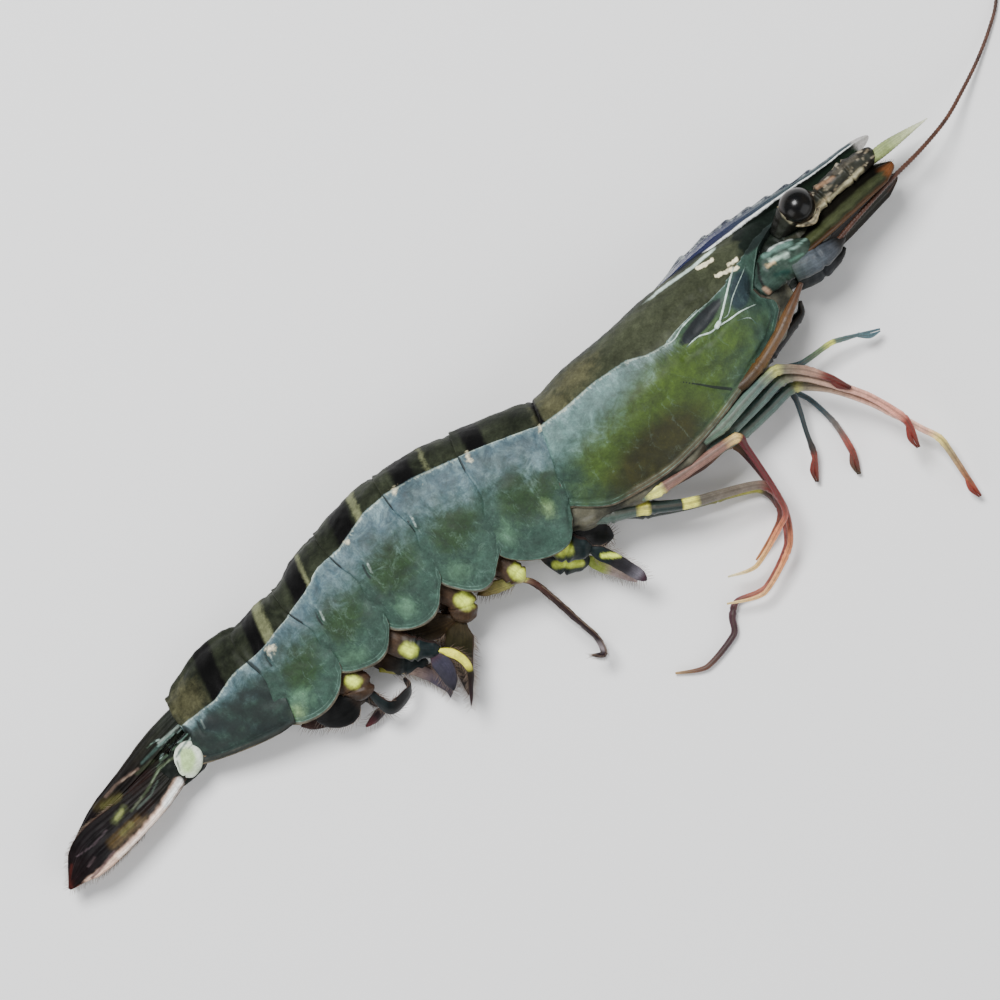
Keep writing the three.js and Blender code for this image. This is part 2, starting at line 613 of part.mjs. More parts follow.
// For each pair, front to back: the ring that it hangs from, and the right side's stem, outer blade and inner
// blade, each with a path, a half width at each point, and the direction that its width runs in. The left one
// lies lower, its root shifted by left.shift. Its blades end under the right one's, or lie along their own
// paths.
const FLAT_X = [1, 0, 0.3];
const FLAT_Y = [0, 1, 0.3];
const ON_EDGE = [0.35, 0, 1];
const SWIMMERETS = [
  {
    ring: 5,
    stem: {
      path: [
        [2.2, -8.6, 12], [2.8, -13.6, 12.6], [6.4, -17.4, 12],
      ],
      half: [2.2, 2.6, 2],
      across: FLAT_X,
    },
    outer: {
      path: [
        [6, -17, 12], [7.9, -21.3, 11.2], [9.1, -24.9, 10], [10, -28.4, 8.8],
      ],
      half: [1.7, 1.5, 1.4, 1.2],
      across: FLAT_X,
    },
    inner: {
      path: [
        [3.4, -12.6, 11.8], [8.2, -15.6, 10], [10.8, -18.6, 9.2],
      ],
      half: [2, 2.5, 2],
      across: FLAT_X,
    },
    left: {
      shift: [-1.7, -1.6],
      outer: {
        path: [
          [4.5, -17.8, 5.2], [5.8, -21.6, 4.6], [7.4, -24.4, 3.8], [8.6, -27.6, 2.8],
        ],
        half: [1.5, 1.3, 1.2, 0.8],
        across: FLAT_X,
      },
    },
  },
  {
    ring: 4,
    stem: {
      path: [
        [-8.8, -4.6, 11.8], [-7, -11, 12.4], [-6.5, -13.7, 12],
      ],
      half: [2.6, 2, 1.4],
      across: FLAT_X,
    },
    outer: {
      path: [
        [-6.6, -13.2, 12], [-5.2, -15.4, 11.6], [-4.5, -20, 10.4], [-4, -25.2, 8.8],
        [-3.5, -30.4, 7], [-4.6, -33.4, 6], [-6.4, -32.2, 5.6],
      ],
      half: [0.8, 0.7, 0.7, 0.8, 0.8, 0.8, 0.3],
      across: ON_EDGE,
    },
    inner: {
      path: [
        [-6.8, -13, 11.6], [-11, -11.2, 9.8], [-14.5, -10, 8],
      ],
      half: [0.9, 1.4, 0.8],
      across: FLAT_Y,
    },
    left: {
      shift: [-0.6, 0.3],
    },
  },
  {
    ring: 3,
    stem: {
      path: [
        [-18.6, -3.5, 11.2], [-17.4, -8.8, 10.8], [-19.6, -12, 9.4],
      ],
      half: [2.8, 2.4, 2.4],
      across: FLAT_X,
    },
    outer: {
      path: [
        [-19.8, -11.6, 9], [-23, -14.6, 8.2], [-25.2, -18.6, 7.4], [-27.8, -22.4, 6.6],
      ],
      half: [2.6, 2.8, 1.6, 0.5],
      across: FLAT_X,
    },
    inner: {
      path: [
        [-20.4, -10.4, 8.6], [-25.8, -8.4, 8], [-29.6, -5.6, 7.6],
      ],
      half: [2.4, 2.4, 1.6],
      across: FLAT_Y,
    },
    left: {
      shift: [-1.5, 0.3],
    },
  },
  {
    ring: 2,
    stem: {
      path: [
        [-32, -4, 11], [-29.8, -8.9, 11.6], [-25.9, -12.7, 11.2],
      ],
      half: [2.8, 2.2, 1.5],
      across: FLAT_X,
    },
    outer: {
      path: [
        [-26.4, -12.3, 11.2], [-24.4, -15.6, 10.8], [-24.4, -19, 10], [-26.8, -22, 9],
        [-28.9, -24.3, 8],
      ],
      half: [1.3, 1.3, 0.9, 0.5, 0.25],
      across: FLAT_X,
    },
    inner: {
      path: [
        [-27.6, -12, 11], [-27.6, -16, 10], [-29.1, -19.9, 9.2],
      ],
      half: [1.5, 1.9, 0.9],
      across: FLAT_X,
    },
    left: {
      shift: [-3.6, -0.6],
      outer: {
        path: [
          [-36.9, -8.2, 4.6], [-33.3, -10.9, 4.8], [-31.1, -14.2, 4.4], [-29.8, -18.8, 3.6],
          [-30.7, -20.7, 3],
        ],
        half: [1.4, 1.4, 1.4, 1.1, 0.5],
        across: FLAT_X,
      },
    },
  },
  {
    ring: 1,
    stem: {
      path: [
        [-43.6, -2.6, 9.6], [-41.6, -7.2, 10], [-43, -9.8, 9.4],
      ],
      half: [3.2, 2.8, 2.4],
      across: FLAT_X,
    },
    outer: {
      path: [
        [-42.6, -9.4, 9.2], [-47.1, -9.1, 8.6], [-51.2, -7.3, 7.6],
      ],
      half: [2.4, 3.2, 1.8],
      across: FLAT_Y,
    },
    inner: {
      path: [
        [-40.4, -8.6, 9.2], [-40.5, -12.1, 8.4], [-39.7, -14.7, 7.8], [-37.3, -15, 7.4],
        [-34.9, -14.2, 7], [-34.4, -12.3, 6.8],
      ],
      half: [0.9, 1, 1.2, 1.2, 1.1, 0.6],
      across: [0.5, 0.6, 0.6],
    },
    left: {
      shift: [-2, -0.4],
      outer: {
        path: [
          [-42.6, -9.8, 3.8], [-40.6, -13.3, 3.6], [-43, -14.3, 3], [-45.7, -14.3, 2.4],
        ],
        half: [1.2, 0.9, 0.8, 0.6],
        across: [0.5, 0.6, 0.6],
      },
      inner: {
        path: [
          [-44, -9, 3.6], [-49.6, -8.6, 3], [-54.4, -6.4, 2.4],
        ],
        half: [1.8, 1.9, 0.9],
        across: FLAT_Y,
      },
    },
  },
];
const SWIMMERET_FALL = 6.8; // how much lower the left one of a pair lies
const STEM_FLATNESS = 0.62; // a stem's thickness as a share of its width
const BLADE_HALF_THICKNESS = 0.55;

function swimmeretSolid({ stem, outer, inner, left }, side) {
  const lowered = ([x, y, z], share) => {
    if (side > 0) return [x, y, z];
    return [x + left.shift[0] * share, y + left.shift[1] * share, Math.max(z - SWIMMERET_FALL, 1.3)];
  };
  const blade = ({ path, half, across }) => {
    const thick = half.map((value) => Math.min(value, BLADE_HALF_THICKNESS));
    return limb({ path, wide: half, thick, across, sides: 6, steps: 2 });
  };
  const fallen = (piece) => ({
    ...piece,
    path: piece.path.map((point, i) => lowered(point, 1 - i / (piece.path.length - 1))),
  });
  const [ownOuter, ownInner] = side < 0 ? [left.outer, left.inner] : [];
  const shaft = limb({
    path: stem.path.map((point) => lowered(point, 1)),
    wide: stem.half,
    thick: stem.half.map((value) => value * STEM_FLATNESS),
    across: stem.across,
    sides: 7,
    steps: 2,
  });
  return fuse([shaft, blade(ownOuter ?? fallen(outer)), blade(ownInner ?? fallen(inner))]);
}

// ---- Tail fan ----

const TAIL_ROOT = 4.2; // height of the tail joint's middle

// The pointed middle plate.
const telsonSolid = (grow = 0) =>
  limb(
    {
      path: [
        [-69.4, 9.6, TAIL_ROOT],
        [-76.0, 8.9, TAIL_ROOT],
        [-84.0, 7.7, TAIL_ROOT - 0.1],
        [-92.0, 6.9, TAIL_ROOT - 0.3],
        [-98.5, 5.7, TAIL_ROOT - 0.6],
      ],
      wide: [2.4, 2.6, 2.2, 1.5, 0.3],
      thick: [2.3, 2.0, 1.5, 1.1, 0.3],
      sides: 8,
      steps: 2,
    },
    grow,
  );

// One side fan: a short stem that carries a broad outer blade and a narrower inner one, folded like a roof.
function fanSolid(side) {
  const off = (distance) => TAIL_ROOT + side * distance;
  const stem = limb({
    path: [
      [-70.6, 3.6, off(1.7)],
      [-73.4, 3.0, off(2.3)],
      [-77.0, 2.8, off(2.6)],
    ],
    wide: [2.4, 3.0, 2.4],
    thick: [1.3, 1.5, 1.0],
    across: [0, 1, 0],
    steps: 2,
  });
  const outer = limb({
    path: [
      [-75.5, 2.6, off(2.6)],
      [-82.0, 2.2, off(2.9)],
      [-90.0, 2.0, off(2.9)],
      [-98.0, 1.8, off(2.6)],
      [-105.0, -0.2, off(2.2)],
    ],
    wide: [2.2, 3.5, 4.2, 4.3, 1.0],
    thick: [0.8, 0.55, 0.5, 0.45, 0.25],
    across: [0, 1, -side * 0.32],
    sides: 8,
  });
  const inner = limb({
    path: [
      [-75.5, 4.8, off(1.9)],
      [-83.0, 4.6, off(1.4)],
      [-92.0, 4.2, off(1.2)],
      [-100.5, 3.0, off(1.0)],
    ],
    wide: [1.6, 2.2, 2.5, 0.8],
    thick: [0.6, 0.45, 0.4, 0.25],
    across: [0, 1, -side * 0.3],
    sides: 6,
    steps: 2,
  });
  return fuse([stem, outer, inner]);
}

// ---- The whole animal ----

const prawn = new THREE.Group();
prawn.position.set(-MIDDLE[0], -MIDDLE[1], 0);

function place(name, solid, material) {
  const mesh = new THREE.Mesh(geometryOf(solid), material);
  mesh.name = name;
  prawn.add(mesh);
}

const shellAround = [carapaceShell(GAP * 1.2), beakBlade(GAP), abdomenRing(5, GAP)];
const chestAround = chestSolid(GAP);
const headAround = headFront(GAP);

const beak = fuse([
  beakBlade(),
  ...TOP_TEETH.map((x) => beakTooth(x, 1)),
  ...LOWER_TEETH.map((x) => beakTooth(x, -1)),
]);
place("carapace", fuse([carapaceShell(), beak]), SHELL_SKIN);
place("chest", clearOf(chestSolid(), shellAround), BELLY_SKIN);
place("head_front", clearOf(headFront(), [...shellAround, chestAround]), BELLY_SKIN);
RING_NAMES.forEach((name, k) => place(name, abdomenRing(k), SHELL_SKIN));

const bases = [...shellAround, chestAround, headAround];
const antennaBases = [antennaBase(1, GAP), antennaBase(-1, GAP)];
for (const [name, leg] of Object.entries(LEGS)) {
  place(name, clearOf(legSolid(leg), [...bases, ...antennaBases]), LEG_SKIN);
}

SWIMMERETS.forEach((pair, i) => {
  const around = [pair.ring, pair.ring - 1, pair.ring + 1].filter((k) => k < RING_NAMES.length);
  const rings = [...around.map((k) => abdomenRing(k, GAP)), chestAround];
  place(`swimmeret_${i + 1}_right`, clearOf(swimmeretSolid(pair, 1), rings), FIN_SKIN);
  place(`swimmeret_${i + 1}_left`, clearOf(swimmeretSolid(pair, -1), rings), FIN_SKIN);
});

const lastRing = abdomenRing(0, GAP);
place("telson", clearOf(telsonSolid(), [lastRing]), TAIL_SKIN);
for (const [name, side] of [["right", 1], ["left", -1]]) {
  place(`tail_fan_${name}`, clearOf(fanSolid(side), [lastRing, telsonSolid(GAP)]), TAIL_SKIN);
  place(`eye_${name}`, clearOf(eyeSolid(side), bases), EYE_SKIN);
  place(`antennule_${name}`, clearOf(antennuleSolid(side), [...bases, eyeGlobe(side, GAP)]), SCALE_SKIN);
  const aroundScale = [...bases, ...antennaBases, antennuleStem(side, GAP)];
  place(`antennal_scale_${name}`, clearOf(antennalScaleSolid(side), aroundScale), SCALE_SKIN);
  const antenna = side > 0 ? fuse([antennaBase(side), whipSolid()]) : antennaBase(side);
  place(`antenna_${name}`, clearOf(antenna, bases), FEELER_SKIN);
}

export default prawn;
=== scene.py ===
"""Raw tiger prawn: builds its shell, limbs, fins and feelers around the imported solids, lying on one side."""

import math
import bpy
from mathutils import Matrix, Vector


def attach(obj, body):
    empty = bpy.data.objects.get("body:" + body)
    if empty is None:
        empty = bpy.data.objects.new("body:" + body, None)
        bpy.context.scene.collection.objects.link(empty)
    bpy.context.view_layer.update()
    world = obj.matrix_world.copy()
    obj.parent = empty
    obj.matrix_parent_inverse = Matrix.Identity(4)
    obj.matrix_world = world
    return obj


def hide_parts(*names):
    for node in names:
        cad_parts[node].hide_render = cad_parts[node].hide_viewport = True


bl_info = {
    "name": "Raw Tiger Prawn",
    "version": (1, 0, 0),
    "blender": (4, 5, 0),
    "location": "3D View > Sidebar > Prawn",
    "description": "Builds a whole raw tiger prawn with its shell, limbs, swimming legs, tail and feelers",
    "category": "Add Mesh",
}

import bmesh
import bpy
import numpy as np

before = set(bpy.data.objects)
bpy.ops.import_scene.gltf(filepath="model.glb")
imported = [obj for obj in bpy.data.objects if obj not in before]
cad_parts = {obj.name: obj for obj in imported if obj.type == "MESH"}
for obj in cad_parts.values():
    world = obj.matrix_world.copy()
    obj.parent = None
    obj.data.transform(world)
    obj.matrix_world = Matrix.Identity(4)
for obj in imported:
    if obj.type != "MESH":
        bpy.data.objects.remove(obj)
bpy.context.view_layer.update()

MM = 0.001
MIDDLE = np.array([18.96, 2.84, 0.0])  # where the part's origin is in the millimetre layout below
BODY = "root"
SIDES = ((1, "right"), (-1, "left"))


# ---- Sizes and colours that a user would change ----


def linear(code):
    """An sRGB hex colour as linear red, green and blue."""
    parts = [int(code[i : i + 2], 16) / 255 for i in (1, 3, 5)]
    return [c / 12.92 if c <= 0.04045 else ((c + 0.055) / 1.055) ** 2.4 for c in parts]


def colour(name, description, code):
    """A colour property whose default is the hex code."""
    return bpy.props.FloatVectorProperty(
        name=name, description=description, default=linear(code), size=3, min=0, max=1, subtype="COLOR"
    )


def length(name, description, millimetres):
    """A length property whose default is in millimetres and whose value is in metres."""
    return bpy.props.FloatProperty(
        name=name, description=description, default=millimetres * MM, min=0, subtype="DISTANCE", unit="LENGTH"
    )


class PrawnSizes(bpy.types.PropertyGroup):
    """Sizes of the fine parts that the solids leave out."""

    overlap: length("Shell overlap", "How far each ring of shell lies over the one behind it", 1.3)
    lip: length("Shell lip", "Thickness of the free lower edge of the shell", 0.55)
    bead: length("Rim bead", "Height of the raised line along each free edge", 0.14)
    dent: length("Unevenness", "Height of the soft dents all over the shell", 0.16)
    seta: length("Hair length", "Length of the hairs that fringe the fins", 1.5)
    seta_width: length("Hair thickness", "Thickness of one hair at its root", 0.09)
    whip_ring: length("Feeler ring pitch", "Distance from ring to ring along the long feelers", 0.75)


class PrawnColours(bpy.types.PropertyGroup):
    """Pigments of the shell and limbs."""

    back: colour("Back", "Olive grey between the bands of the back", "#2a2e22")
    band: colour("Dark band", "Nearly black bands over the back", "#050505")
    pale: colour("Pale band", "Narrow yellowish bands in front of the dark ones", "#6a6e50")
    upper: colour("Upper side", "Blue grey of the upper side", "#4f6468")
    lower: colour("Lower side", "Dark green of the lower side", "#1f351c")
    lobe: colour("Side plate patch", "Lighter teal patch near the bottom of each ring", "#4f7259")
    spot: colour("Yellow spot", "Soft yellowish spots on the side plates", "#7d9a68")


# ---- Smooth rows and meshes ----


def smooth(rows, place):
    """A smooth run through rows of numbers, with row 0 at 0, row 1 at 1 and so on, beyond its ends too."""
    rows = np.asarray(rows, float)
    place = np.asarray(place, float)
    last = len(rows) - 1
    first = np.clip(np.floor(place).astype(int), 0, last - 1)
    t = (place - first)[:, None]
    a, b, c, d = (rows[np.clip(first + step, 0, last)] for step in (-1, 0, 1, 2))
    bend = (2 * a - 5 * b + 4 * c - d) * t + (3 * b - a - 3 * c + d) * t * t
    curved = b + 0.5 * t * (c - a + bend)
    straight = b + (c - b) * t
    return np.where((t < 0) | (t > 1), straight, curved)


def step_up(value, low, high):
    """0 below low, 1 above high, and smooth between."""
    t = np.clip((value - low) / (high - low), 0, 1)
    return t * t * (3 - 2 * t)


def ripple(points, size, seed):
    """Smooth unevenness from -1 to 1 in which bumps are about size apart."""
    rng = np.random.default_rng(seed)
    total = 0
    for _ in range(7):
        way = rng.normal(size=3)
        way *= 2 * math.pi / (size * rng.uniform(0.7, 1.5) * np.linalg.norm(way))
        total = total + np.sin(points @ way + rng.uniform(0, 6.28))
    return total / 4


def distance_to(points, line):
    """How far points are, seen from above, from a broken line of (x, y)."""
    flat = points[..., :2]
    best = np.full(flat.shape[:-1], np.inf)
    line = np.asarray(line, float)
    for a, b in zip(line[:-1], line[1:]):
        t = np.clip(((flat - a) @ (b - a)) / ((b - a) @ (b - a)), 0, 1)
        best = np.minimum(best, np.linalg.norm(flat - a - t[..., None] * (b - a), axis=-1))
    return best


def near_spot(points, centre, size, turn=0.0):
    """1 at the middle of an oval seen from above, 0.5 at its edge, and down to 0 outside it."""
    x, y = points[..., 0] - centre[0], points[..., 1] - centre[1]
    c, s = math.cos(math.radians(turn)), math.sin(math.radians(turn))
    away = np.hypot((x * c + y * s) / size[0], (y * c - x * s) / size[1])
    return np.clip(1 - away / 2, 0, 1)


def hump(value, at, size):
    """1 where the value is at, and falling off over size on both sides."""
    return np.exp(-(((value - at) / size) ** 2))


def columns(place, places, rows):
    """Rows of three numbers, known at places and drawn straight between them, at each place."""
    return np.stack([np.interp(place, places, rows[:, c]) for c in range(3)], -1)


def mirrored(half, sign=1):
    """The second half of a ring after its first half, without the two points that they share."""
    return np.hstack([half, sign * half[:, -2:0:-1]])


def outward_normals(rings):
    """The outward direction at each point of rings that close on themselves."""
    round_it = np.roll(rings, -1, axis=1) - np.roll(rings, 1, axis=1)
    along = np.gradient(rings, axis=0)
    normal = np.cross(round_it, along)
    return normal / np.maximum(np.linalg.norm(normal, axis=-1, keepdims=True), 1e-9)


def mesh_of(name, points, edges=(), faces=()):
    """A mesh in metres from points in the millimetre layout."""
    mesh = bpy.data.meshes.new(name)
    mesh.from_pydata(((points - MIDDLE) * MM).tolist(), edges, faces)
    return mesh


# the kinds of attribute that hold one, three or four numbers at each point
KEPT = {1: ("FLOAT", "value"), 3: ("FLOAT_VECTOR", "vector"), 4: ("FLOAT_COLOR", "color")}


def keep(mesh, name, values):
    """Stores a number, a direction or a colour at each point of a mesh."""
    kind, entry = KEPT[values.shape[1] if values.ndim > 1 else 1]
    mesh.attributes.new(name, kind, "POINT").data.foreach_set(entry, values.ravel())


def linked(name, data):
    """A new object that holds the data, in the scene."""
    made = bpy.data.objects.new(name, data)
    bpy.context.scene.collection.objects.link(made)
    return made


class Shape:
    """Points, faces and per-point values gathered for one mesh, in millimetres."""

    def __init__(self):
        self.points, self.faces, self.count = [], [], 0
        self.values = {}

    def loft(self, rings, **values):
        """A closed skin over rings of points, with a fan over each end. A value is one number for all of it,
        or has one entry for each point of the rings."""
        rings = np.asarray(rings, float)
        n, m, _ = rings.shape
        i, j = np.meshgrid(np.arange(n - 1), np.arange(m), indexing="ij")
        k = (j + 1) % m
        faces = np.stack([i * m + j, i * m + k, (i + 1) * m + k, (i + 1) * m + j], -1).reshape(-1, 4).tolist()
        first, last, t = n * m, n * m + 1, np.arange(m)
        faces += np.stack([0 * t + first, (t + 1) % m, t], -1).tolist()
        faces += np.stack([0 * t + last, (n - 1) * m + t, (n - 1) * m + (t + 1) % m], -1).tolist()
        self.faces += [tuple(corner + self.count for corner in face) for face in faces]
        for name, value in values.items():
            value = np.asarray(value, float)
            wide = value.shape[2:] if value.ndim > 2 else (value.shape if value.ndim == 1 else ())
            full = np.broadcast_to(value, (n, m, *wide))
            flat = np.concatenate([full.reshape(n * m, *wide), full[0].mean(0)[None], full[-1].mean(0)[None]])
            self.values.setdefault(name, []).append((self.count, flat))
        self.points.append(np.vstack([rings.reshape(-1, 3), rings[0].mean(0), rings[-1].mean(0)]))
        self.count += n * m + 2

    def build(self, name, material):
        """The mesh as an object at the origin, in metres, with its values as attributes."""
        mesh = mesh_of(name, np.vstack(self.points), [], self.faces)
        for key, parts in self.values.items():
            wide = parts[0][1].shape[1:]
            full = np.zeros((self.count, *wide))
            for start, value in parts:
                full[start : start + len(value)] = value
            keep(mesh, key, np.concatenate([full, np.ones((self.count, 1))], 1) if wide else full)
        work = bmesh.new()
        work.from_mesh(mesh)
        bmesh.ops.recalc_face_normals(work, faces=work.faces)
        work.to_mesh(mesh)
        work.free()
        mesh.shade_smooth()
        mesh.materials.append(material)
        return linked(name, mesh)


def finish(piece, slot, *nodes):
    """Puts a piece on the body, in place of its solids."""
    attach(piece, BODY)
    if nodes:
        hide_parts(*nodes)


def put(shape, name, look, slot, *nodes):
    """Makes a shape into a piece with one of the materials."""
    finish(shape.build(name, MATERIALS[look]), slot, *nodes)


# ---- Materials ----


def add(tree, label, kind, settings, links):
    """Adds a node with its settings. links gives each input a value, a hex code, or the label of the node
    that feeds it."""
    made = tree.nodes.new(kind)
    made.name = made.label = label
    for key, value in settings.items():
        setattr(made, key, value)
    for key, value in links.items():
        named = isinstance(key, str)
        socket = next(s for s in made.inputs if s.enabled and s.name == key) if named else made.inputs[key]
        if isinstance(value, str) and value.startswith("#"):
            socket.default_value = rgba(linear(value))
        elif isinstance(value, str) and socket.type != "STRING":
            source, _, output = value.partition(".")
            outs = [o for o in tree.nodes[source].outputs if o.enabled and (not output or o.name == output)]
            tree.links.new(outs[0], socket)
        else:
            socket.default_value = value
    return made


def material(name, fields, rows, surface):
    """A material that reads the fields, which its meshes hold at each point. Its nodes are the rows (label,
    kind, settings, links), and it ends in a principled surface."""
    made = bpy.data.materials.new(name)
    made.use_nodes = True
    tree = made.node_tree
    tree.nodes.clear()
    add(tree, "place", "ShaderNodeTexCoord", {}, {})
    for each in fields:
        add(tree, each, "ShaderNodeAttribute", {"attribute_name": each}, {})
    for label, kind, settings, links in rows:
        add(tree, label, "ShaderNode" + kind, settings, links)
    add(tree, "surface", "ShaderNodeBsdfPrincipled", {}, surface)
    add(tree, "output", "ShaderNodeOutputMaterial", {}, {"Surface": "surface"})
    return made


def rgba(three):
    """Linear red, green and blue as a socket's four numbers."""
    return (*three, 1.0)


RGBA = {"data_type": "RGBA"}
DARKER = {"data_type": "RGBA", "blend_type": "MULTIPLY"}
SMOOTHLY = {"interpolation_type": "SMOOTHSTEP"}
TIMES = {"operation": "MULTIPLY"}
TIMES_PLUS = {"operation": "MULTIPLY_ADD"}
ABSOLUTE = {"operation": "ABSOLUTE"}


def per(millimetres):
    """The scale of a texture whose features are that far apart."""
    return 1 / (millimetres * MM)


def layers(under, entries):
    """Rows that lay one colour after another over a colour, each where its value is high. An entry is (label,
    value, the noises that make its border uneven with their strengths, where it starts, where it is full, how
    strong it is there, colour)."""
    rows = []
    for label, value, noises, low, high, most, over in entries:
        for noise, strength in noises.items():
            rows.append((f"{label}_{noise}", "Math", TIMES_PLUS, {0: noise, 1: strength, 2: value}))
            value = f"{label}_{noise}"
        share = {"Value": value, "From Min": low, "From Max": high, "To Max": most}
        rows.append((label + "_share", "MapRange", SMOOTHLY, share))
        rows.append((label, "Mix", RGBA, {"Factor": label + "_share", "A": under, "B": over}))
        under = label
    return rows


def shaded(label, under, noises):
    """Rows that darken and lighten a colour by noises. Each has its usual span and the shades at its ends."""
    rows, shade = [], None
    for noise, low, high, dark, light in noises:
        span = {"Value": noise, "From Min": low, "From Max": high, "To Min": dark, "To Max": light}
        rows.append((f"{label}_{noise}", "MapRange", {}, span))
        if shade:
            rows.append((f"{label}_and_{noise}", "Math", TIMES, {0: shade, 1: f"{label}_{noise}"}))
        shade = rows[-1][0]
    return rows + [(label, "Mix", DARKER, {"Factor": 1.0, "A": under, "B": shade})]


SHELL_FIELDS = (
    "over", "rise", "band", "pale", "gold", "lobe", "rim", "belly", "mid", "warm", "vein", "pocket", "panel",
    "olive", "cream", "grey", "crease", "spot", "dusty",
)
# label, place, millimetres between its features, detail, roughness, distortion
SHELL_NOISES = (
    ("clouds", "place.Object", 6, 6, 0.66, 0.4), ("blots", "place.Object", 3.1, 5, 0.7, 0.8),
    ("mottle", "place.Object", 1.5, 6, 0.68, 0.0), ("grain", "place.Object", 0.4, 4, 0.65, 0.0),
    ("streaks", "slant", 0.9, 5, 0.7, 1.2),
)


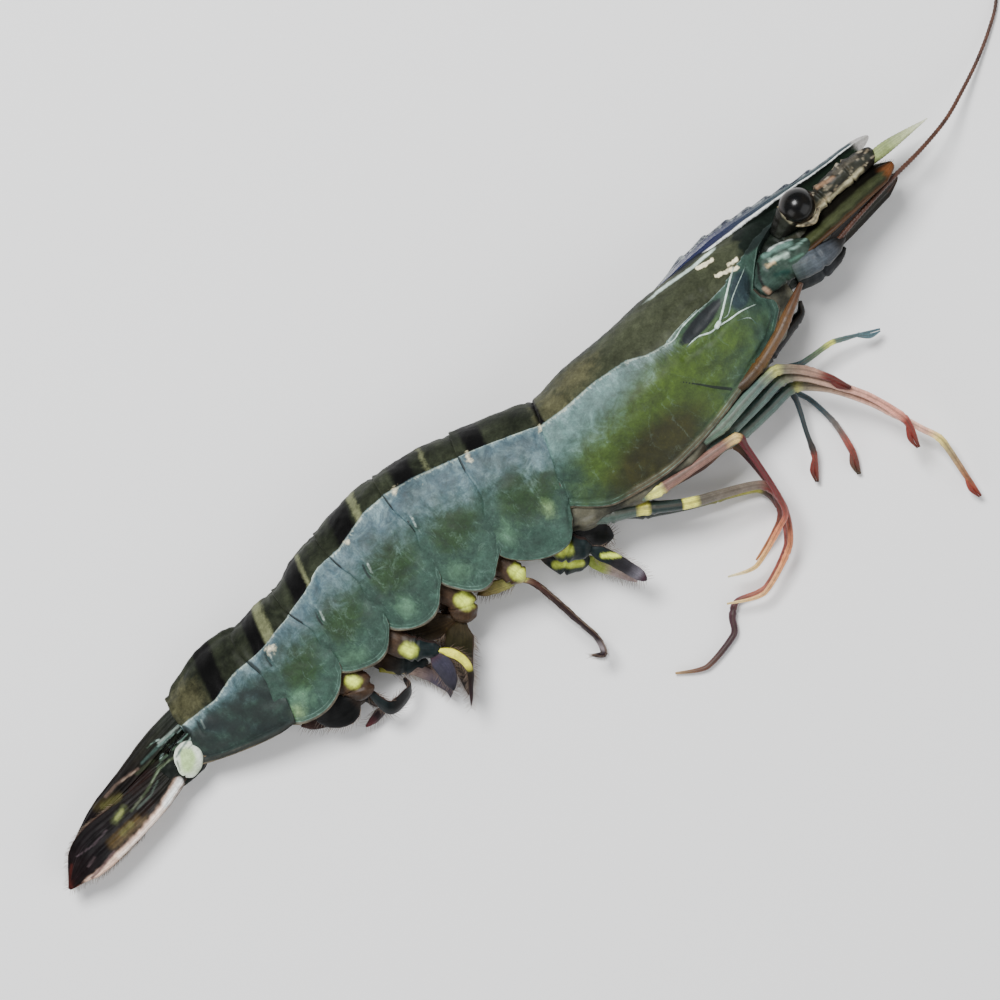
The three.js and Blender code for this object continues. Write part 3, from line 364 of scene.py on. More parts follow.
def shell_material(colours):
    """Chitin shell, moulted and hardened on the animal, wet on the back and drying on the upper side. It
    looks dense and leathery, dull where it has dried, with its pigment in clouds and fine pale threads over
    them."""
    slope = math.radians(-24)
    return material("Chitin shell, wet", SHELL_FIELDS, [
        # fine marks run down and back from the shoulder
        ("slant", "Mapping", {}, {"Vector": "place.Object", "Rotation": (0, 0, slope),
                                  "Scale": (1.0, 0.36, 0.5)}),
        *((label, "TexNoise", {}, {"Vector": place, "Scale": per(apart), "Detail": detail, "Roughness": rough,
                                   "Distortion": twist})
          for label, place, apart, detail, rough, twist in SHELL_NOISES),
        ("wander", "Mix", {"data_type": "VECTOR"}, {"Factor": 0.0035, "A": "slant", "B": "blots.Color"}),
        ("cells", "TexVoronoi", {"feature": "DISTANCE_TO_EDGE"}, {"Vector": "wander", "Scale": per(4.6)}),
        # the side: olive green in the middle of a plate, teal towards its borders
        *layers("#2c443a", [
            ("green", "mid", {"blots": 1.0}, 0.75, 1.36, 1.0, rgba(colours.lower)),
            ("moss", "warm", {"clouds": 0.7}, 0.55, 1.05, 0.9, "#384b13"),
        ]),
        # blue grey above, with a cloudy border
        *layers("#37505a", [("slate", "blots", {}, 0.4, 0.62, 1.0, rgba(colours.upper))]),
        ("dusk", "Mix", RGBA, {"Factor": "dusty", "A": "#4e6c66", "B": "slate"}),
        *layers("moss", [
            ("upper", "rise", {"clouds": 0.5, "blots": 0.35}, 0.8, 1.14, 1.0, "dusk"),
            # a lighter teal patch in each side plate, fading on one side, and soft yellowish spots
            ("patch", "lobe", {"blots": 0.75}, 0.76, 1.35, 0.7, rgba(colours.lobe)),
            ("dots", "spot", {"mottle": 0.6}, 0.45, 1.2, 0.75, rgba(colours.spot)),
            # olive brown low on the carapace, and the dark window at its front corner
            ("brown", "olive", {"blots": 0.35}, 0.35, 0.85, 0.88, "#241f06"),
            ("window", "panel", {}, 0.38, 0.6, 1.0, "#1a2a2f"),
            # dried, dusty clouds under the shoulder line, with a painted sheen over them
            ("frost", "over", {"streaks": 0.7, "clouds": 0.7}, 0.46, 0.88, 0.6, "#83999c"),
        ]),
        # pale threads and dust
        ("web", "MapRange", {}, {"Value": "cells", "From Min": 0.0, "From Max": 0.11, "To Min": 1.0,
                                 "To Max": 0.0}),
        ("web_2", "Math", TIMES, {0: "web", 1: "blots"}),
        *layers("frost", [("threads", "web_2", {}, 0.34, 0.7, 0.14, "#7d9a90")]),
        ("wisps", "MapRange", SMOOTHLY, {"Value": "streaks", "From Min": 0.55, "From Max": 0.76,
                                         "To Max": 0.28}),
        ("wisps_2", "Math", TIMES, {0: "wisps", 1: "dusty"}),
        ("side", "Mix", RGBA, {"Factor": "wisps_2", "A": "threads", "B": "#68877f"}),
        # the back: olive grey clouds, golden patches, pale and dark bands
        ("back_tone", "MapRange", {}, {"Value": "clouds", "From Min": 0.35, "From Max": 0.68}),
        ("back", "Mix", RGBA, {"Factor": "back_tone", "A": "#161a12", "B": rgba(colours.back)}),
        ("back_2", "Mix", RGBA, {"Factor": "dusty", "A": "#3a3e2e", "B": "back"}),
        *layers("back_2", [
            ("golden", "gold", {"mottle": 0.9}, 0.7, 1.3, 0.85, "#4c4b35"),
            ("pale_band", "pale", {"mottle": 0.7}, 0.75, 1.15, 0.9, rgba(colours.pale)),
            ("dark_band", "band", {"mottle": 0.45}, 0.6, 0.86, 1.0, rgba(colours.band)),
        ]),
        *layers("side", [("skin", "over", {"streaks": 0.09}, 0.028, 0.06, 1.0, "dark_band")]),
        # a painted highlight: the thin pale line between them
        ("off_line", "Math", {"operation": "SUBTRACT"}, {0: "skin_streaks", 1: 0.026}),
        ("off_line_2", "Math", ABSOLUTE, {0: "off_line"}),
        *layers("skin", [
            ("line", "off_line_2", {"streaks": -0.16}, -0.05, -0.094, 0.7, "#b3bfae"),
            # marks of the head end of the carapace
            ("hollow", "pocket", {"mottle": 0.35}, 0.6, 0.75, 1.0, "#12181b"),
            # painted highlights: cream strokes and spots
            ("strokes", "cream", {"mottle": 1.8}, 1.25, 1.85, 0.9, "#f2e8c2"),
            # pale carinae and seams, with painted highlights along the crest and on the hinge knobs
            ("veins", "vein", {"mottle": 0.8}, 0.72, 1.3, 0.9, "#c9dcd2"),
            ("lip", "grey", {"mottle": 0.5}, 0.5, 1.2, 0.75, "#4f4838"),
        ]),
        # fine lines that run along the lower edges, the hem outside them, and painted shadow in the joints
        # and creases
        ("waves", "Math", TIMES, {0: "rim", 1: 30.0}),
        ("waves_2", "Math", {"operation": "SINE"}, {0: "waves"}),
        ("waves_3", "Math", TIMES, {0: "waves_2", 1: "rim"}),
        ("waves_4", "Math", TIMES, {0: "waves_3", 1: "blots"}),
        *layers("lip", [
            ("lines", "waves_4", {}, 0.2, 0.55, 0.5, "#769a8a"),
            ("hem", "rim", {}, 0.9, 0.97, 0.75, "#5a4a40"),
            ("shadow", "crease", {"mottle": 0.5}, 0.72, 1.0, 0.88, "#0a1413"),
        ]),
        # soft skin inside the plates
        ("belly_tone", "MapRange", {}, {"Value": "mottle", "From Min": 0.3, "From Max": 0.7}),
        ("belly_skin", "Mix", RGBA, {"Factor": "belly_tone", "A": "#3a2d22", "B": "#6c5d47"}),
        ("whole", "Mix", RGBA, {"Factor": "belly", "A": "shadow", "B": "belly_skin"}),
        # light and dark clouds and specks over everything
        *shaded("pigment", "whole", [
            ("grain", 0.3, 0.7, 0.8, 1.18), ("mottle", 0.28, 0.72, 0.74, 1.28),
            ("blots", 0.32, 0.68, 0.74, 1.26), ("clouds", 0.3, 0.7, 0.7, 1.28),
        ]),
        ("dry", "MapRange", {}, {"Value": "skin_share", "To Min": 0.6, "To Max": 0.5}),
        ("sheen", "MapRange", {}, {"Value": "skin_share", "To Min": 0.32, "To Max": 0.06}),
        ("gloss", "Math", TIMES_PLUS, {0: "mottle", 1: 0.18, 2: "dry"}),
        ("gloss_2", "Math", {"operation": "SUBTRACT"}, {0: "gloss", 1: 0.09}),
        ("pits", "Bump", {}, {"Height": "grain", "Strength": 0.25, "Distance": 0.05 * MM}),
        ("dents", "Bump", {}, {"Height": "mottle", "Strength": 0.4, "Distance": 0.2 * MM, "Normal": "pits"}),
        ("scratches", "Bump", {}, {"Height": "streaks", "Strength": 0.2, "Distance": 0.08 * MM,
                                   "Normal": "dents"}),
    ], {
        "Base Color": "pigment", "Roughness": "gloss_2", "Normal": "scratches", "IOR": 1.54,
        "Specular IOR Level": "sheen", "Coat Weight": 0.02, "Coat Roughness": 0.25, "Coat IOR": 1.33,
    })


# ---- The shell of the body ----

# The abdomen, from the tail joint forward. Each row is one joint between rings of shell: the top of the back
# (x, y), the edge of the side (x, y), half the width, and the height of the mid-plane.
ABDOMEN_JOINTS = [
    [-68.2, 13.0, -71.6, 0.5, 4.2, 4.3],
    [-50.6, 14.6, -53.9, -5.0, 6.8, 6.4],
    [-40.6, 15.1, -41.5, -3.7, 7.8, 7.4],
    [-28.1, 17.8, -30.0, -3.6, 8.6, 8.2],
    [-13.2, 18.2, -17.7, -3.7, 9.1, 8.7],
    [2.4, 14.5, -6.5, -7.0, 9.5, 9.2],
    [16.6, 9.2, 7.2, -11.7, 9.8, 9.9],
]
RING_NAMES = ["abdomen_6", "abdomen_5", "abdomen_4", "abdomen_3", "abdomen_2", "abdomen_1"]
LOBE_DROP = [0.5, 2.4, 3.2, 4.0, 4.6, 3.8]
CREST_RISE = [1.9, 0.4, 0.5, 0.4, 0.2, 0.2]

# The carapace, from its rear edge forward, in the same columns.
CARAPACE_ROWS = [
    [17.2, 9.4, 7.9, -11.9, 10.3, 10.5],
    [24.5, 10.0, 16.0, -14.6, 11.2, 10.9],
    [32.8, 9.8, 26.0, -16.4, 11.5, 11.1],
    [41.3, 9.7, 36.0, -16.0, 11.3, 10.9],
    [50.0, 9.5, 45.5, -14.2, 10.4, 10.7],
    [57.0, 8.9, 53.0, -12.0, 9.0, 10.5],
    [62.2, 7.9, 59.5, -9.4, 7.4, 10.3],
    [65.8, 6.6, 64.8, -6.6, 5.8, 10.2],
]
WIDEST = 0.52  # height of a section's widest place, as a share of its depth
ABDOMEN_TUCK, ABDOMEN_RECESS = 0.3, 2.6
CARAPACE_TUCK, CARAPACE_RECESS = 0.42, 5.5

# The line, seen from the side, where the dark back meets the lighter side.
SHOULDER = [(-80, 8.0), (-68.7, 8.1), (-62.1, 7.5), (-56.8, 8.8), (-50.3, 8.6), (-47.0, 9.0), (-42.5, 9.8),
            (-36.9, 10.9), (-32.3, 12.8), (-27.3, 12.8), (-19.7, 14.6), (-14.3, 14.5), (-8.3, 13.2),
            (-0.7, 10.7), (2.4, 9.8), (14.1, 5.0), (19.2, 4.5), (26.2, 4.4), (33.2, 3.4), (36.4, 1.7),
            (39.9, 0.9), (43.9, 1.2), (48.4, 1.3), (52.0, 1.1), (56.3, 1.8), (60.2, 3.0), (64.5, 4.2),
            (92, 5.0)]
# Dark bands over the back, tail to head: x at the shoulder, y there, half its width, and how bold it is.
DARK_BANDS = [
    (-59.7, 11.8, 1.9, 1.0), (-49.0, 12.1, 1.5, 0.95), (-37.3, 12.9, 1.8, 1.0), (-23.8, 16.4, 2.2, 1.0),
    (-9.6, 16.3, 2.3, 0.95), (3.8, 12.0, 1.9, 1.0), (15.8, 9.0, 0.9, 0.7),
]
PALE_BANDS = [(-46.4, 12.6, 1.4, 1.0), (-34.9, 15.0, 1.0, 0.85), (-20.1, 16.9, 1.1, 0.9),
              (-5.3, 14.9, 1.0, 0.7)]
BAND_LEAN = -0.28  # how far a band leans back for each mm down the side
GOLD_PATCHES = [((-66.6, 10.8), (4.0, 3.5)), ((18.3, 6.2), (3.6, 3.0)), ((24.5, 7.5), (5.0, 2.2))]
LOBE_PATCHES = [((-62, 0.5), (1.1, 0.7)), ((-50.6, -2.6), (2.9, 2.5)), ((-38.4, -3.0), (3.4, 2.6)),
                ((-25.2, -3.0), (2.6, 2.6)), ((-14.2, -4.4), (3.4, 2.6)), ((-3.0, -5.4), (3.0, 2.9))]
BRIGHT_SPOTS = [((-52.4, -3.9), (1.7, 1.4)), ((5.2, -6.9), (1.3, 1.8))]
# painted highlights: small cream spots near the shoulder line
CREAM_HIGHLIGHTS = [((0.9, 9.4), (0.9, 1.1)), ((-12.9, 14.0), (0.9, 0.8)), ((-25.3, 12.6), (0.7, 0.6)),
               ((-48.6, 7.6), (1.2, 0.9)), ((14.4, 4.6), (1.6, 0.5))]
# how deep a side plate hangs, from its rear edge to its front edge, as a share of LOBE_DROP
LOBE_CURVE = [[-0.25], [0.3], [0.68], [0.92], [1.05], [1.0], [0.7], [-0.2]]
# For each ring from the tail: how soon its dusty top, with its painted sheen, fades down its side, how much
# fainter that is than on the carapace, how tall its keel is, and where the knob of its hinge sits.
DUST_AND_SHEEN_FADE = [1.7, 1.9, 1.7, 1.1, 1.1, 1.3]
DUST_AND_SHEEN_DROP = [0, 0.12, 0.22, 0, 0, 0.16]
KEELS = [0.8, 0.35, 0.3, 0.15, 0, 0]
KNOBS = [(-67, 5.0), (-49.4, 6.0), (-37.6, 5.3), (-25.6, 5.8), (-14.2, 6.6), (-2.7, 4.4)]


def shell_section(rows, tuck, recess, lip, drop, rise, swell, fine):
    """Rings of points round a shell: over the back, down to the lips and up inside them to the belly.
    Gives the rings, the height on each as a share of its depth, and how far inside the lips each point is."""
    arc, side = fine
    back, edge = rows[:, 0:2], rows[:, 2:4]
    half, middle = rows[:, 4], rows[:, 5]
    up = back - edge
    depth = np.linalg.norm(up, axis=1)
    up /= depth[:, None]
    widest = (WIDEST * depth)[:, None]
    wide = (half + swell)[:, None]
    drop, depth, rise, swell = (np.broadcast_to(v, half.shape)[:, None] for v in (drop, depth, rise, swell))
    angle = np.linspace(0, math.pi / 2, arc)[None]
    down = np.linspace(0, 1, side)[None, 1:]
    heights = [widest + (depth - widest + rise + swell) * np.cos(angle), widest - (widest + drop) * down]
    widths = [wide * np.sin(angle) ** 0.9, wide * (1 - tuck * down**1.6)]
    low = widths[1][:, -1:]
    turn = np.linspace(0, math.pi, 6)[None, 1:]
    heights.append(-drop - 0.35 * lip * np.sin(turn))
    widths.append(low - lip / 2 + lip / 2 * np.cos(turn))
    climb = np.linspace(0, 1, 6)[None, 1:]
    ceiling = (widest - recess) / (widest + drop)
    inner = (low - lip) * (1 - climb) + (wide * (1 - tuck * ceiling**1.6) - lip) * climb
    heights.append(-drop + (recess + drop) * climb)
    widths.append(inner)
    cross = np.linspace(1, 0, 9)[None, 1:]
    widths.append(inner[:, -1:] * cross)
    heights.append(recess - 0.8 * (1 - cross**2) + 0 * drop)
    height, width = np.hstack(heights), np.hstack(widths)
    outer = arc + side - 1
    inside = np.zeros_like(height)
    inside[:, outer:] = 1
    height, width, inside = mirrored(height), mirrored(width, -1), mirrored(inside)
    flat = edge[:, None] + up[:, None] * height[..., None]
    rings = np.dstack([flat, middle[:, None] + width])
    return rings, height / depth, inside, height + drop


def on_floor(rings):
    """Flattens what would sink into the surface that the animal lies on."""
    rings[..., 2] = np.maximum(rings[..., 2], 0)
    return rings


def band_field(points, bands):
    """1 in the middle of a band over the back, 0.5 at its edge."""
    best = np.zeros(points.shape[:-1])
    for x, y, half, bold in bands:
        away = np.abs(points[..., 0] - x - BAND_LEAN * -(points[..., 1] - y)) / half
        best = np.maximum(best, bold * np.clip(1 - away / 2, 0, 1))
    return best


def side_fields(points):
    """The values that pigment the whole shell."""
    x, y = points[..., 0], points[..., 1]
    line = np.array(SHOULDER)
    over = (y - np.interp(x, line[:, 0], line[:, 1])) / 10
    return {
        "over": over,
        "band": band_field(points, DARK_BANDS),
        "pale": band_field(points, PALE_BANDS),
        "gold": np.max([near_spot(points, c, s) for c, s in GOLD_PATCHES], axis=0),
    }


def abdomen_ring(k, sizes):
    """Ring k of the abdomen, counted from the tail. Its back lies over the ring behind it, and the front
    corner of its side plate lies over the ring in front."""
    lip, over = sizes.lip / MM, sizes.overlap / MM
    reach = abs(ABDOMEN_JOINTS[k + 1][0] - ABDOMEN_JOINTS[k][0])
    share = np.concatenate([np.linspace(-over / reach, 0.12, 12), np.linspace(0.12, 0.8, 24)[1:],
                            np.linspace(0.8, 1.0, 12)[1:]])
    rows = smooth(ABDOMEN_JOINTS, k + share)
    q = (share + over / reach) / (1 + over / reach)
    lobe = smooth(LOBE_CURVE, q * (len(LOBE_CURVE) - 1))[:, 0]
    rim = 0.5 * step_up(share, 0.82, 1.0)
    flare = 0.2 * (1 - step_up(share, -0.08, 0.3)) + 0.03
    rings, rise, inside, above = shell_section(
        rows, ABDOMEN_TUCK, ABDOMEN_RECESS, lip, LOBE_DROP[k] * lobe,
        CREST_RISE[k] * np.sin(math.pi * np.clip(share, 0, 1)), flare - rim, (26, 30),
    )
    outer = 1 - inside
    ahead = rows[-1, 2:4] - rows[0, 2:4]
    ahead = np.append(ahead / np.linalg.norm(ahead), 0)
    ends = step_up(share, 0.7, 1.0) + 1 - step_up(share, -0.05, 0.35)
    hinged = hump(rise, 0.46, 0.2) * ends[:, None]
    rings = rings + ahead * (1.7 * hinged)[..., None]
    normal = outward_normals(rings)
    low = 1 - step_up(rise, 0.06, 0.4)
    if k < len(RING_NAMES) - 1:
        front = step_up(share, 0.72, 0.98)[:, None] * low
        rear = (1 - step_up(share, -0.05, 0.25))[:, None] * low
        rings = rings + normal * (outer * (0.85 * front - 0.4 * rear))[..., None]
        bulge = hump(rise, 0.3, 0.22) - 0.6 * step_up(-rise, -0.08, 0.1)
        rings = rings + ahead * ((1.1 * front + 0.5 * rear) * bulge)[..., None]
    from_rear = (share - share[0])[:, None] * reach
    from_front = (1 - share)[:, None] * reach
    to_edge = np.minimum(np.minimum(above, from_rear + 5 * low), from_front + 6 * (1 - low))
    spread = outer * np.clip(1 - to_edge / 2.8, 0, 1) * (low if k < len(RING_NAMES) - 1 else low * 0.7)
    bead = sizes.bead / MM * hump(to_edge, 0.3, 0.25)
    groove = 0.12 * hump(to_edge, 0.95, 0.35) * low
    fold = 0.16 * hump(from_front, 2.6, 0.45) * step_up(rise, 0.35, 0.5)
    dents = sizes.dent / MM * ripple(rings, 5.5, 10 + k) + 0.07 * ripple(rings, 1.9, 30 + k)
    keel = KEELS[k] * hump(rings[..., 2], rows[:, 5:6], 0.8) * (rise > 0.6)
    # the hinge: a small knob, with a furrow that runs forward and up from it
    at = np.array(KNOBS[k])
    hinge = distance_to(rings, [at, at + (0.5, 1.5)])
    seam = distance_to(rings, [at + (-0.4, -3.2), at + (-0.1, -1.0), at, at + (0.5, 1.5), at + (0.2, 3.6)])
    shadow = distance_to(rings, [at + (-0.9, -0.7), at + (-0.8, 0.6), at + (-0.3, 2.0)])
    knob = 0.3 * hump(hinge, 0, 0.5) * (rings[..., 2] > rows[:, 5:6])
    knob = knob - 0.2 * hump(shadow, 0, 0.45)
    rings = rings + normal * (outer * (bead - groove - fold + dents + keel + knob))[..., None]
    values = side_fields(rings)
    centre, size = LOBE_PATCHES[k]
    values.update(rise=rise, rim=spread, belly=inside, lobe=near_spot(rings, centre, size, -30) * outer,
                  dusty=1.0)
    # a painted highlight on the hinge knob, and a pale line along its furrow
    values["vein"] = np.maximum(0.6 * hump(hinge, 0, 0.4), 0.36 * hump(seam, 0, 0.4))
    values["mid"] = np.sin(math.pi * np.clip(share, 0, 1))[:, None] ** 0.7 * hump(rise, 0.36, 0.28)
    values["warm"] = 0.42 * values["mid"] - 0.2
    upper = step_up(values["over"], -0.42, -0.2) * (1 - step_up(values["over"], 0.0, 0.05))
    # painted shadow along the rear edge of the ring, strongest just below the shoulder line
    values["crease"] = outer * hump(from_rear, 0, 0.55) * (0.12 + 0.88 * upper) * step_up(rise, 0.25, 0.4)
    if k == 0:
        under = outer * (1 - step_up(above, 0.5, 0.8))
        values["grey"], values["rim"] = under * 1.2, spread * (1 - under)
        values["warm"], values["mid"] = values["warm"] - 0.5, values["mid"] * 0.3
        values["vein"] = np.maximum(values["vein"], 0.45 * outer * hump(above, 1.35, 0.22))
        # painted shade low on the last ring and along its lower edge
        low = outer * (1 - step_up(rise, 0.42, 0.85))
        values["panel"] = (0.42 + 0.1 * ripple(rings, 5.0, 91)) * low
        dark = (0.7 + 0.06 * ripple(rings, 4.0, 92)) * low
        values["crease"] = np.max([values["crease"], dark, 0.75 * under], axis=0)
    # painted shadow in the dent beside the hinge knob
    values["crease"] = np.maximum(values["crease"], 0.75 * hump(shadow, 0, 0.4))
    below = np.minimum(values["over"], 0)
    fade = DUST_AND_SHEEN_FADE[k] * below - DUST_AND_SHEEN_DROP[k] * (1 - np.exp(20 * below))
    values["over"] = np.maximum(values["over"], 0) + fade
    values["spot"] = 0.75 * np.max([near_spot(rings, c, s) for c, s in BRIGHT_SPOTS], axis=0)
    values["cream"] = 0.85 * np.max([near_spot(rings, c, s) for c, s in CREAM_HIGHLIGHTS], axis=0)
    shape = Shape()
    shape.loft(on_floor(rings), **values)
    return shape


# Raised lines of the carapace, seen from the side, each with its half width and how pale it is. Then its
# grooves, the painted cream highlights on it, a painted shadow line at its lower edge and its front edge (y,
# x).
CARINAE = [
    (0.24, 1.1, [(49.2, -2.9), (50.8, -2.1), (53.5, -0.3), (56.3, 1.6), (58.6, 3.0)]),
    (0.13, 0.6, [(50.6, -2.4), (52.1, -2.6), (54.9, -0.8), (59.2, 1.2), (60.6, 1.9)]),
    (0.2, 1.0, [(48.8, -2.9), (51.4, -3.4), (54.1, -3.7), (57.2, -4.6)]),
    (0.2, 0.8, [(49.6, -2.9), (47.6, -2.9), (45.4, -2.0), (42.6, -2.0)]),
    (0.6, 1.4, [(48.7, -3.0), (49.4, -2.8), (50.2, -2.5)]),
    (0.1, 0.5, [(52.6, -4.5), (54.6, -5.6), (54.9, -7.3)]),
    # a painted highlight along the upper edge of the dark pocket, laid as a low ridge
    (0.16, 0.75, [(38.9, 0.9), (41.8, 0.5), (44.7, 1.2), (49.3, 1.4), (52.4, 1.1)]),
]
CREST = [(36.0, 9.6), (42.1, 9.0), (47.8, 8.6), (53.1, 7.9), (60.9, 7.7), (65.6, 7.4), (72.0, 7.0)]
GROOVES = [
    [(40.1, -8.7), (41.5, -10.4), (43.6, -12.1)],
    [(52.0, -3.6), (47.0, -4.2), (41.0, -3.2)],
    [(44.0, 2.6), (47.5, 3.6), (51.0, 3.4)],
]
CREAM_HIGHLIGHT_STROKES = [[(55.1, 3.8), (57.2, 3.2), (59.2, 2.4)], [(58.2, 3.9), (60.0, 3.7)], [(53.8, 7.2),
                                                                                       (56.7, 6.5)]]
SHADE_LINE = [(37.8, -5.9), (40.1, -8.6), (41.6, -10.5), (43.7, -12.8)]
FRONT_MARGIN = [(-8.0, 62.6), (-6.2, 60.9), (-4.2, 59.2), (-2.2, 58.8), (0.4, 61.2), (3.1, 64.6),
                (4.9, 65.6), (7.0, 65.8)]

# Millimetres: how far the carapace laps over the first ring, its length as measured from its rear and from
# its front, and the height of the plane between its two sides.
CARAPACE_LAP, CARAPACE_LONG, CARAPACE_FRONT_LONG, CARAPACE_MIDDLE = 1.1, 55, 50, 10.6


def carapace(sizes):
    """The carapace with its carinae, grooves and rims. Its top runs on under the beak to the eyes."""
    share = np.concatenate([np.linspace(-CARAPACE_LAP / CARAPACE_LONG, 0.05, 8),
                            np.linspace(0.05, 0.45, 60)[1:], np.linspace(0.45, 1.0, 200)[1:]])
    rows = smooth(CARAPACE_ROWS, share * (len(CARAPACE_ROWS) - 1))
    flare = 0.18 * (1 - step_up(share, -0.02, 0.06))
    lifted = -2.6 * (1 - step_up(share, -0.02, 0.14))
    rings, rise, inside, above = shell_section(
        rows, CARAPACE_TUCK, CARAPACE_RECESS, sizes.lip / MM, lifted, 0.0, flare, (34, 96),
    )
    margin = np.array(FRONT_MARGIN)
    late = step_up(share, 0.72, 1.0)[:, None]
    pull = (65.3 - np.interp(rings[..., 1], margin[:, 0], margin[:, 1])) * late
    crown = late * step_up(rings[..., 1], 2.6, 5.0)
    rings[..., 0] += 6.0 * crown - pull
    rings[..., 2] -= (rings[..., 2] - rows[:, 5:6]) * 0.62 * crown * step_up(rings[..., 0], 60, 70)
    outer = 1 - inside
    normal = outward_normals(rings)
    upper = step_up(np.abs(rings[..., 2] - rows[:, 5:6]), 1.0, 2.0)
    groove = np.min([distance_to(rings, line) for line in GROOVES], axis=0)
    from_rear = (share - share[0])[:, None] * CARAPACE_LONG
    from_front = (1 - share)[:, None] * CARAPACE_FRONT_LONG
    to_edge = np.minimum(np.minimum(above, from_rear), from_front)
    spread = outer * np.clip(1 - to_edge / 2.6, 0, 1) * (1 - step_up(rise, 0.3, 0.5))
    relief = -0.3 * hump(groove, 0, 0.6) * upper
    pocket = near_spot(rings, (47.6, -0.4), (5.4, 1.35), 7)
    relief = relief - 0.9 * step_up(pocket, 0.3, 0.8) * upper
    relief = relief + sizes.bead / MM * hump(to_edge, 0.4, 0.35) * (1 - crown)
    relief = relief - 0.15 * hump(above, 1.3, 0.4)
    dents = sizes.dent / MM * ripple(rings, 8, 3) + 0.06 * ripple(rings, 2.1, 4)
    rings = rings + normal * (outer * (relief + dents))[..., None]
    values = side_fields(rings)
    x, y = rings[..., 0], rings[..., 1]
    values["over"] = np.where(values["over"] < 0, values["over"] - 0.4 * step_up(x, 40, 48), values["over"])
    # painted highlights: short cream strokes on the carapace
    cream = np.min([distance_to(rings, line) for line in CREAM_HIGHLIGHT_STROKES], axis=0)
    cream = cream / (0.4 + 0.13 * ripple(rings, 1.1, 78))
    crest = np.interp(x, *np.array(CREST).T)
    values.update(
        dusty=0.2, rise=rise + 0.05 * step_up(x, 20, 8) - 0.3 * step_up(x, 22, 46), rim=spread, belly=inside,
        mid=hump(x, 34, 12) * hump(y, -4, 5),
        warm=1.05 * near_spot(rings, (34, -8.0), (18, 8.0), 10) + 0.35 * near_spot(rings, (20, -6), (8, 6))
        + 0.12 * near_spot(rings, (53, -6.5), (5, 4.5)) - 0.1,
        # a painted highlight along the crest under the beak
        vein=hump(y, crest, 0.4) * step_up(x, 38, 48) * (1 - step_up(x, 56, 62)) * outer,
        pocket=pocket * upper, panel=near_spot(rings, (56.6, -0.9), (3.6, 1.9), 40) * upper,
        olive=near_spot(rings, (26.5, -12.4), (9.5, 4.0), 2),
        cream=np.clip(1.5 - cream, 0, 1) * upper, crease=hump(from_rear, 0, 0.5) * 0.4 * outer,
        spot=0.5 * near_spot(rings, (43.0, 1.9), (1.2, 0.6)),
        grey=outer * (1 - step_up(above, 0.5, 1.7)) * step_up(x, 14, 20) * (1 - step_up(x, 44, 50)),
    )
    values["pocket"] = np.maximum(values["pocket"], 0.9 * step_up(y - crest, 0.45, 0.9) * step_up(x, 46, 52))
    # more painted shade: by the front edge near the eye, along the top edge, and a dark line at the lower edge
    front_shade = step_up(x - 0.4 * y + ripple(rings, 2.6, 77), 56.0, 61.5)
    front_shade = 0.85 * step_up(y, 1.6, 3.6) * front_shade * outer
    shade_line = distance_to(rings, SHADE_LINE) / (0.16 + 0.25 * step_up(x, 38, 43.5))
    top_edge_shade = 0.66 * outer * step_up(rise, 0.9, 1.0) * step_up(x, 16, 24) * (1 - step_up(x, 44, 50))
    values["crease"] = np.max([values["crease"], front_shade, top_edge_shade, hump(shade_line, 0, 1) * upper], axis=0)
    shape = Shape()
    shape.loft(on_floor(rings), **values)
    skin = rings[outer > 0]
    for side, _ in SIDES:
        near = skin[side * (skin[:, 2] - CARAPACE_MIDDLE) > 0]
        for half, pale, line in CARINAE:
            line = smooth(line, np.linspace(0, len(line) - 1, 8 * len(line)))
            closest = [near[np.argmin(np.hypot(*(near[:, :2] - at).T))][2] for at in line]
            path = np.column_stack([line, smooth(np.array(closest)[:, None], np.arange(len(line)))[:, 0]])
            path[1:-1, 2] = (path[:-2, 2] + path[1:-1, 2] + path[2:, 2]) / 3
            ends = np.sin(np.linspace(0.12, 0.94, len(line)) * math.pi) ** 0.5
            ridge = Sweep(path, half * ends, 0.8 * half * ends, sides=12, step=0.2, stiff=0.3)
            faded = pale * (0.45 + 0.55 * np.interp(ridge.place, np.arange(len(line)), ends) ** 3)
            rings = ridge.rings(0.03 * ripple(ridge.rings(), 0.9, 6))
            shape.loft(rings, vein=faded[:, None], over=-1.0, rise=0.4)
    return shape


# The beak: x, top edge, side ridge and lower edge (y), and half the width over the ridges.
BEAK_ROWS = [
    [46.0, 9.6, 8.9, 4.0, 2.6],
    [52.0, 10.5, 8.5, 4.0, 3.2],
    [60.0, 10.5, 8.2, 3.4, 3.0],
    [68.0, 9.2, 7.6, 3.0, 2.5],
    [75.0, 7.8, 6.8, 3.6, 1.9],
    [82.0, 6.6, 5.9, 3.4, 1.3],
    [88.0, 6.0, 5.4, 3.3, 1.0],
    [92.6, 5.6, 4.9, 3.1, 0.6],
]
BEAK_FROM, BEAK_LONG = BEAK_ROWS[0][0], 46.6
BEAK_FINE, BEAK_END, BEAK_POINT = 88, 93.15, 93.2  # where its closer rings start and end, and its tip
TOP_TEETH = [49.5, 55.0, 60.0, 64.4, 68.2, 72.2, 77.0]
LOWER_TEETH = [78.5, 82.5, 86.0]


def beak_rows(x):
    """The beak's rows at each x, and the height of its middle there."""
    rows = np.array(BEAK_ROWS)
    place = np.interp(x, rows[:, 0], np.arange(len(rows)))
    return smooth(rows, place), np.interp(x, [BEAK_FROM, BEAK_FROM + BEAK_LONG], [10.7, 9.7])


